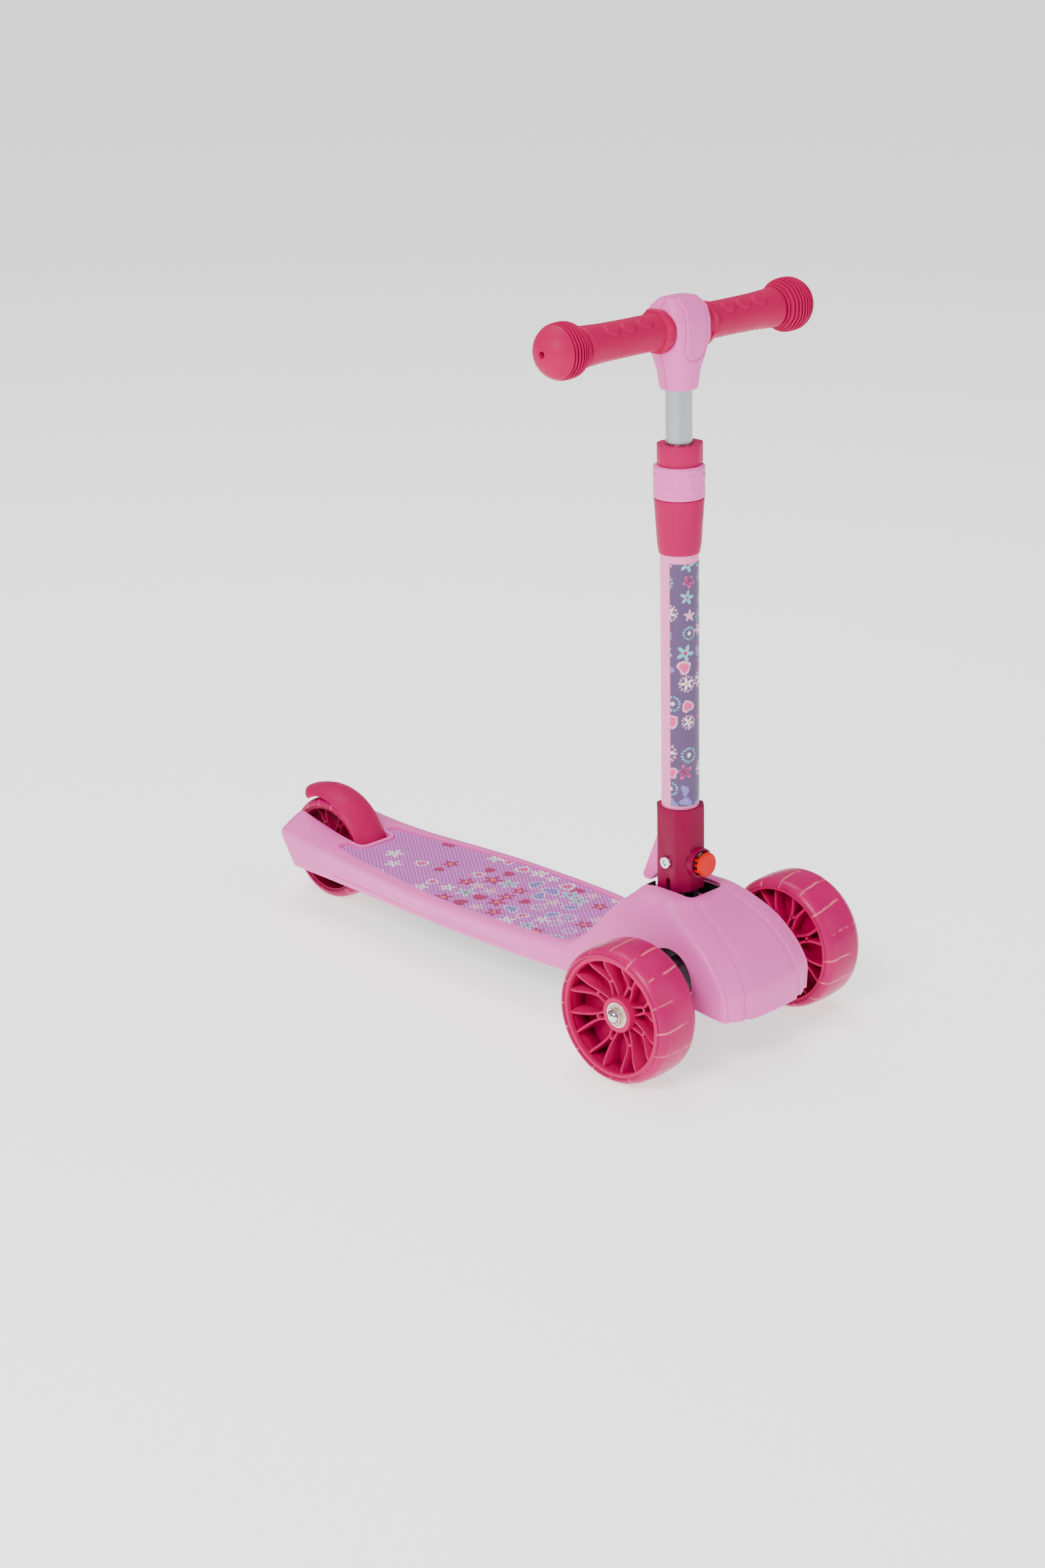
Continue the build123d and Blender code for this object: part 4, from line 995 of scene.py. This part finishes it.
def hood():
    """Shell with cuts for the fin, the sloping lower edge, the axle beam's arches and the deck's front."""
    outer = hood_rows(0, 0)
    inner = hood_rows(HOOD_WALL, HOOD_ROOF)
    mesh = to_mesh("hood", *skin(list(reversed(outer)) + inner, True, "join"))
    gap = block(half=7, front=50, back=86, bottom=92, top=150)
    below = prism([(FRONT_Y + y, z) for y, z in LOWER_EDGE], 0, -CUT_HALF, CUT_HALF)
    arch = [(FRONT_Y + (ARCH_Y + ARCH_R), ARCH_FOOT), (FRONT_Y + (ARCH_Y - ARCH_R), ARCH_FOOT)]
    for k in range(25):
        turn = pi - pi * k / 24
        arch.append((FRONT_Y + ARCH_Y + ARCH_R * cos(turn), ARCH_Z + ARCH_R * sin(turn)))
    arches = prism(arch, 0, -CUT_HALF, CUT_HALF)
    behind = block(half=50, front=100, back=140, bottom=30, top=65.4)
    mesh = rounded(carve(mesh, gap, below, arches, behind), 0.7, 2, 50)
    piece("front_hood_moulding", mesh, "front_hood", sharp=48)


hood()
soften("hood_bezel", 0.4)
soften("front_bracket", 0.8)
soften("bracket_screws", 0.4)
soften("kingpin", 0.5)
soften("kingpin_nut", 0.4)
soften("axle_beam", 1.2)

# -------- brake fender
FENDER_Y, FENDER_Z = REAR_Y + 8.0, REAR_R - 4.6
FENDER_R, FENDER_HALF = 64.6, 19.0
FENDER_TIP, FENDER_ROOT = 62.5, 164.0                        # in degrees
FENDER_T, TIP_T, THIN_FROM, THIN_TO = 2.3, 9.0, 8.0, 36.0    # it thins between these distances from the tip
PLAN_R, NOSE_R, DOME, SKIRT = 17.0, 4.5, 5.6, 0.8
STEPS_FROM, STEPS_TO, STEP_EVERY, STEP_RISE = 82.0, 122.0, 10.0, 0.35
KNUCKLE_TO = 431.0           # the CAD fender's root is kept up to here
ACROSS = 24


def fender():
    """Domed tongue over the wheel with round edges, a thick round tip and faint steps across its top."""
    rows = []
    turns = steps_between(FENDER_TIP, FENDER_TIP + 6, 0.4) + steps_between(FENDER_TIP + 7, FENDER_ROOT, 1.5)
    for turn in turns:
        along = (turn - FENDER_TIP) * radians(FENDER_R) + 0.1
        half = FENDER_HALF * sqrt(1 - (1 - min(along / PLAN_R, 1)) ** 2)
        nose = sqrt(1 - (1 - min(along / NOSE_R, 1)) ** 2)
        full = TIP_T + (FENDER_T - TIP_T) * ease(along, THIN_FROM, THIN_TO)
        thick = full * nose
        centre = FENDER_R - 0.2 - full / 2
        step = 0
        if STEPS_FROM < turn < STEPS_TO:
            step = STEP_RISE * abs(sin(radians((turn - STEPS_FROM) * 180 / STEP_EVERY)))
        section = []
        for side in (1, -1):
            for k in range(ACROSS + (side > 0)):
                u = -side * cos(pi * k / ACROSS)
                swell = thick / 2 * sqrt(max(1 - abs(u) ** 5, 0)) + (step * (1 - u * u) if side > 0 else 0)
                skirt = SKIRT * abs(u) ** 4 * (side < 0) * nose
                section.append((half * u, centre - DOME * (half * u / FENDER_HALF) ** 2 - skirt + side * swell))
        section.pop()
        c, s = cos(radians(turn)), sin(radians(turn))
        rows.append([(x, FENDER_Y + r * c, FENDER_Z + r * s) for x, r in section])
    mesh = to_mesh("fender", *skin(rows))
    piece("brake_fender_tongue", mesh, "brake_fender")
    root = bmesh.new()
    root.from_mesh(frame["nodes"]["brake_fender"].data)
    bmesh.ops.bisect_plane(root, geom=root.verts[:] + root.edges[:] + root.faces[:],
                           plane_co=(0, (FRONT_Y + KNUCKLE_TO) * MM, 0), plane_no=(0, 1, 0), clear_outer=True)
    bmesh.ops.holes_fill(root, edges=[edge for edge in root.edges if edge.is_boundary])
    knuckle = bpy.data.meshes.new("knuckle")
    root.to_mesh(knuckle)
    root.free()
    trim("brake_fender_knuckle", knuckle, "brake_fender", MATERIAL["hot_pink"])


fender()

# -------- folding hinge
soften("hinge_block", 1.1)
soften("hinge_fin", 0.8)
soften("release_button", 0.6)
soften("pivot_bolt", 0.5)
soften("pivot_nut", 0.5)
soften("latch_pin", 0.3)

# -------- stem
TUBE_R, TUBE_WALL = 16.0, 1.5
DECAL_FROM, DECAL_TO = 51.0, 261.0
DECAL_TURN = (192.0, 348.0)
FLUTES, FLUTE_DEEP = 48, 0.3


def lower_stem():
    def fluted(turn, s):
        return TUBE_R - FLUTE_DEEP * (0.5 - 0.5 * cos(FLUTES * turn))
    bottom, top = 22, 340
    mesh = to_mesh("tube", *around_stem(fluted, (bottom, top), FLUTES * 6, TUBE_R - TUBE_WALL))
    piece("lower_tube_fluted", mesh, "lower_tube")


def decal():
    turns = steps_between(radians(DECAL_TURN[0]), radians(DECAL_TURN[1]), 0.042)
    radius = TUBE_R + 0.28
    rows = [[at_stem(radius * cos(turn), radius * sin(turn), s) for turn in turns]
            for s in steps_between(DECAL_FROM, DECAL_TO, 0.7)]
    mesh = to_mesh("decal", *skin(rows, False, "open"))
    mesh = modified(mesh, ("SOLIDIFY", dict(thickness=0.26 * MM, offset=-1)))
    piles = (
        [("disc", 0.25, ORANGE), ("flower", 0.8, WHITE), ("dots", 1.05, PALE_ROSE)],
        [("heart", 0.55, ROSE), ("heart", 0.8, PALE_ROSE)],
        [("disc", 0.3, WHITE), ("dots", 0.9, AQUA)],
        [("star", 0.8, PALE_ROSE)],
        [("cloud", 0.85, BLUE)],
        [("disc", 0.25, HOT_PINK), ("flower", 0.95, AQUA)],
        [("flower", 0.7, PLUM), ("flower", 0.95, ROSE)],
    )
    pattern = Print(seed=11, cell=15.0, piles=piles, base=FILM, density=lambda u, v: 0.9)
    middle_turn = radians(sum(DECAL_TURN) / 2)

    def ink(at):
        away = at - PIVOT
        turn = atan2(away.dot(STEM_BACK), away.x) % (2 * pi)
        return pattern((turn - middle_turn) * TUBE_R, away.dot(STEM_UP))
    paint_print(mesh, ink)
    piece("stem_decal_film", mesh, "stem_decal")


lower_stem()
decal()

# -------- height collar
soften("collar_body", 0.9)
soften("collar_cap", 0.9)
RING_BOTTOM, RING_TOP, RING_R, RING_BORE = 314.4, 341.6, 22.2, 17.75
MARKS, MARK_RISE = 8, 0.7


def lock_ring():
    """Turning ring: rounded edges, shallow waist and raised bars in pairs."""
    def outline(turn, s):
        level = (s - RING_BOTTOM) / (RING_TOP - RING_BOTTOM)
        edge = min(s - RING_BOTTOM, RING_TOP - s)
        radius = RING_R - 0.7 - corner(edge + 0.2, 2.2) - 0.25 * hump(level - 0.5, 0.5)
        across_mark = (turn * MARKS / (2 * pi)) % 1 - 0.5
        bar = ease(0.24 - abs(abs(across_mark) - 0.02), 0.02, 0.05) * ease(0.3 - abs(level - 0.5), 0.0, 0.05)
        chevron = abs(abs(across_mark) * 0.9 + 0.1 - abs(level - 0.5) * 0.9)
        return radius + MARK_RISE * bar * ease(0.2 - chevron, 0.04, 0.1)
    stations = steps_between(RING_BOTTOM, RING_TOP, 0.5)
    mesh = to_mesh("ring", *around_stem(outline, stations, 288, RING_BORE))
    piece("lock_ring_moulding", mesh, "lock_ring")


lock_ring()


UPPER_R, UPPER_BORE, UPPER_FROM, UPPER_TO = 11.1, 9.5, 69, 442
GROOVE_TURN, GROOVE_DEEP = radians(158.0), 1.1


def upper_stem():
    def grooved(turn, s):
        away = abs((turn - GROOVE_TURN + pi) % (2 * pi) - pi) * UPPER_R
        return UPPER_R - GROOVE_DEEP * (1 - ease(away, 1.2, 1.8))
    mesh = to_mesh("tube", *around_stem(grooved, (UPPER_FROM, UPPER_TO), 256, UPPER_BORE))
    piece("upper_tube_grooved", mesh, "upper_tube")


upper_stem()

# -------- head and grips
PANEL_HALF, PANEL_BOTTOM = 12.5, 441.0
PANEL_GROOVE, PANEL_GROOVE_HALF = 1.3, 1.7
HEAD_DROP = 0.14             # the head is lower above the bar than the CAD, by this share
BAR_S = (middle("bar_tube") - PIVOT).dot(STEM_UP)


def head_half(node):
    """One shell with its creases rounded; the front one has a U-shaped groove round a panel."""
    mesh = frame["nodes"][node].data.copy()
    mesh = modified(mesh, ("REMESH", dict(mode="VOXEL", voxel_size=0.7 * MM)),
                    ("SMOOTH", dict(factor=0.5, iterations=26)))
    if node == "t_head_front":
        for vert in mesh.vertices:
            away = vert.co / MM - PIVOT
            s = away.dot(STEM_UP)
            reach = abs(away.x) if s > PANEL_BOTTOM else hypot(away.x, s - PANEL_BOTTOM)
            if away.dot(STEM_BACK) < -8:
                vert.co += STEM_BACK * PANEL_GROOVE * MM * hump(reach - PANEL_HALF, PANEL_GROOVE_HALF)
    for vert in mesh.vertices:
        above = (vert.co / MM - PIVOT).dot(STEM_UP) - BAR_S
        if above > 0:
            vert.co -= STEM_UP * MM * above * HEAD_DROP
    piece(node + "_moulding", mesh, node, sharp=70)


head_half("t_head_front")
head_half("t_head_rear")
soften("t_head_screws", 0.3)

BALL_R, BALL_AT = 23.0, 134.5
OVALS = (50.0, 69.0, 88.0)
OVAL_TURN = radians(128.0)
OVAL_LONG, OVAL_WIDE, OVAL_RISE = 7.5, 6.0, 1.2
GRIP_R = 15.0                # middle radius, for lengths round the grip
FLANGE_FROM, FLANGE_TO, ARC_REACH = 24.25, 30.15, 16.0
DISCS, DISC_FROM, DISC_PITCH = 8, 118.5, 3.0


def grip_profile():
    body = curve_at(((28.6, 15.4), (34, 14.9), (60, 14.8), (90, 15.2), (112, 16.3)))
    points = [(20.4, 11.4), (20.4, 16.4), (21, 16.9), (24.2, 16.9), (24.3, 18.0), (24.8, 18.4), (29.6, 18.4),
              (30.1, 18.0), (30.2, 15.4)]
    points += [(x, body(x)[0]) for x in steps_between(30.4, 112, 0.8)]
    points += [(115.4, 16.4), (116.4, 15.8), (117.4, 13.9), (118.3, 13.7)]
    for i in range(DISCS):
        x = DISC_FROM + i * DISC_PITCH
        crest = sqrt(BALL_R ** 2 - (BALL_AT - x - 0.7) ** 2)
        disc_edge = ((0, -5), (0.05, -0.3), (0.3, 0), (1.1, 0), (1.35, -0.3), (1.4, -5))
        points += [(x + dx, crest + dr) for dx, dr in disc_edge]
    shoulder = DISC_FROM + DISCS * DISC_PITCH
    points.append((shoulder, sqrt(BALL_R ** 2 - (BALL_AT - shoulder) ** 2) - 3))
    for k in range(25):
        start = asin((shoulder - BALL_AT) / BALL_R)
        turn = start + (pi / 2 - radians(8.5) - start) * k / 24
        points.append((BALL_AT + BALL_R * sin(turn), BALL_R * cos(turn)))
    tip = points[-1][0]
    points += [(tip - 0.05, 3.1), (tip - 0.6, 2.8), (tip - 9, 2.7), (130.0, 2.7), (130.0, 11.4)]
    return points


def grip_relief(x, turn):
    """Raised ovals in a row facing forwards and up, and thin slanting ridges on the other side."""
    if not 30 < x < 111:
        return 0.0
    rise = 0.0
    for at in OVALS:
        along = x - at
        across = ((turn - OVAL_TURN + pi) % (2 * pi) - pi) * GRIP_R
        q = sqrt((along / OVAL_LONG) ** 2 + (across / OVAL_WIDE) ** 2)
        rise = max(rise, OVAL_RISE * (1 - ease(q, 0.9, 1.0)))
    back = abs((turn - OVAL_TURN) % (2 * pi) - pi) * GRIP_R
    if back < ARC_REACH:
        arc = hump((x * 0.9 + back * 0.25) % 5 - 2.5, 1.1)
        rise = max(rise, 0.5 * arc * ease(ARC_REACH - back, 0, 2))
    return rise


def grip(node, side):
    steps = 144
    rows = []
    for x, r in grip_profile():
        row = []
        for k in range(steps):
            turn = 2 * pi * k / steps
            radius = r + grip_relief(x, turn)
            if FLANGE_FROM < x < FLANGE_TO:
                facet = (turn + pi / 8) % (pi / 4) - pi / 8
                radius = r * 0.94 / cos(facet)
            if DISC_FROM < x < DISC_FROM + DISCS * DISC_PITCH - 1:
                radius -= 0.35 * (0.5 + 0.5 * cos(10 * turn))
            row.append((side * x, BAR_Y + radius * cos(turn), BAR_Z + radius * sin(turn)))
        rows.append(row)
    piece(node + "_rubber", to_mesh(node, *skin(rows, True, "join")), node, sharp=38)


grip("left_grip", 1)
grip("right_grip", -1)
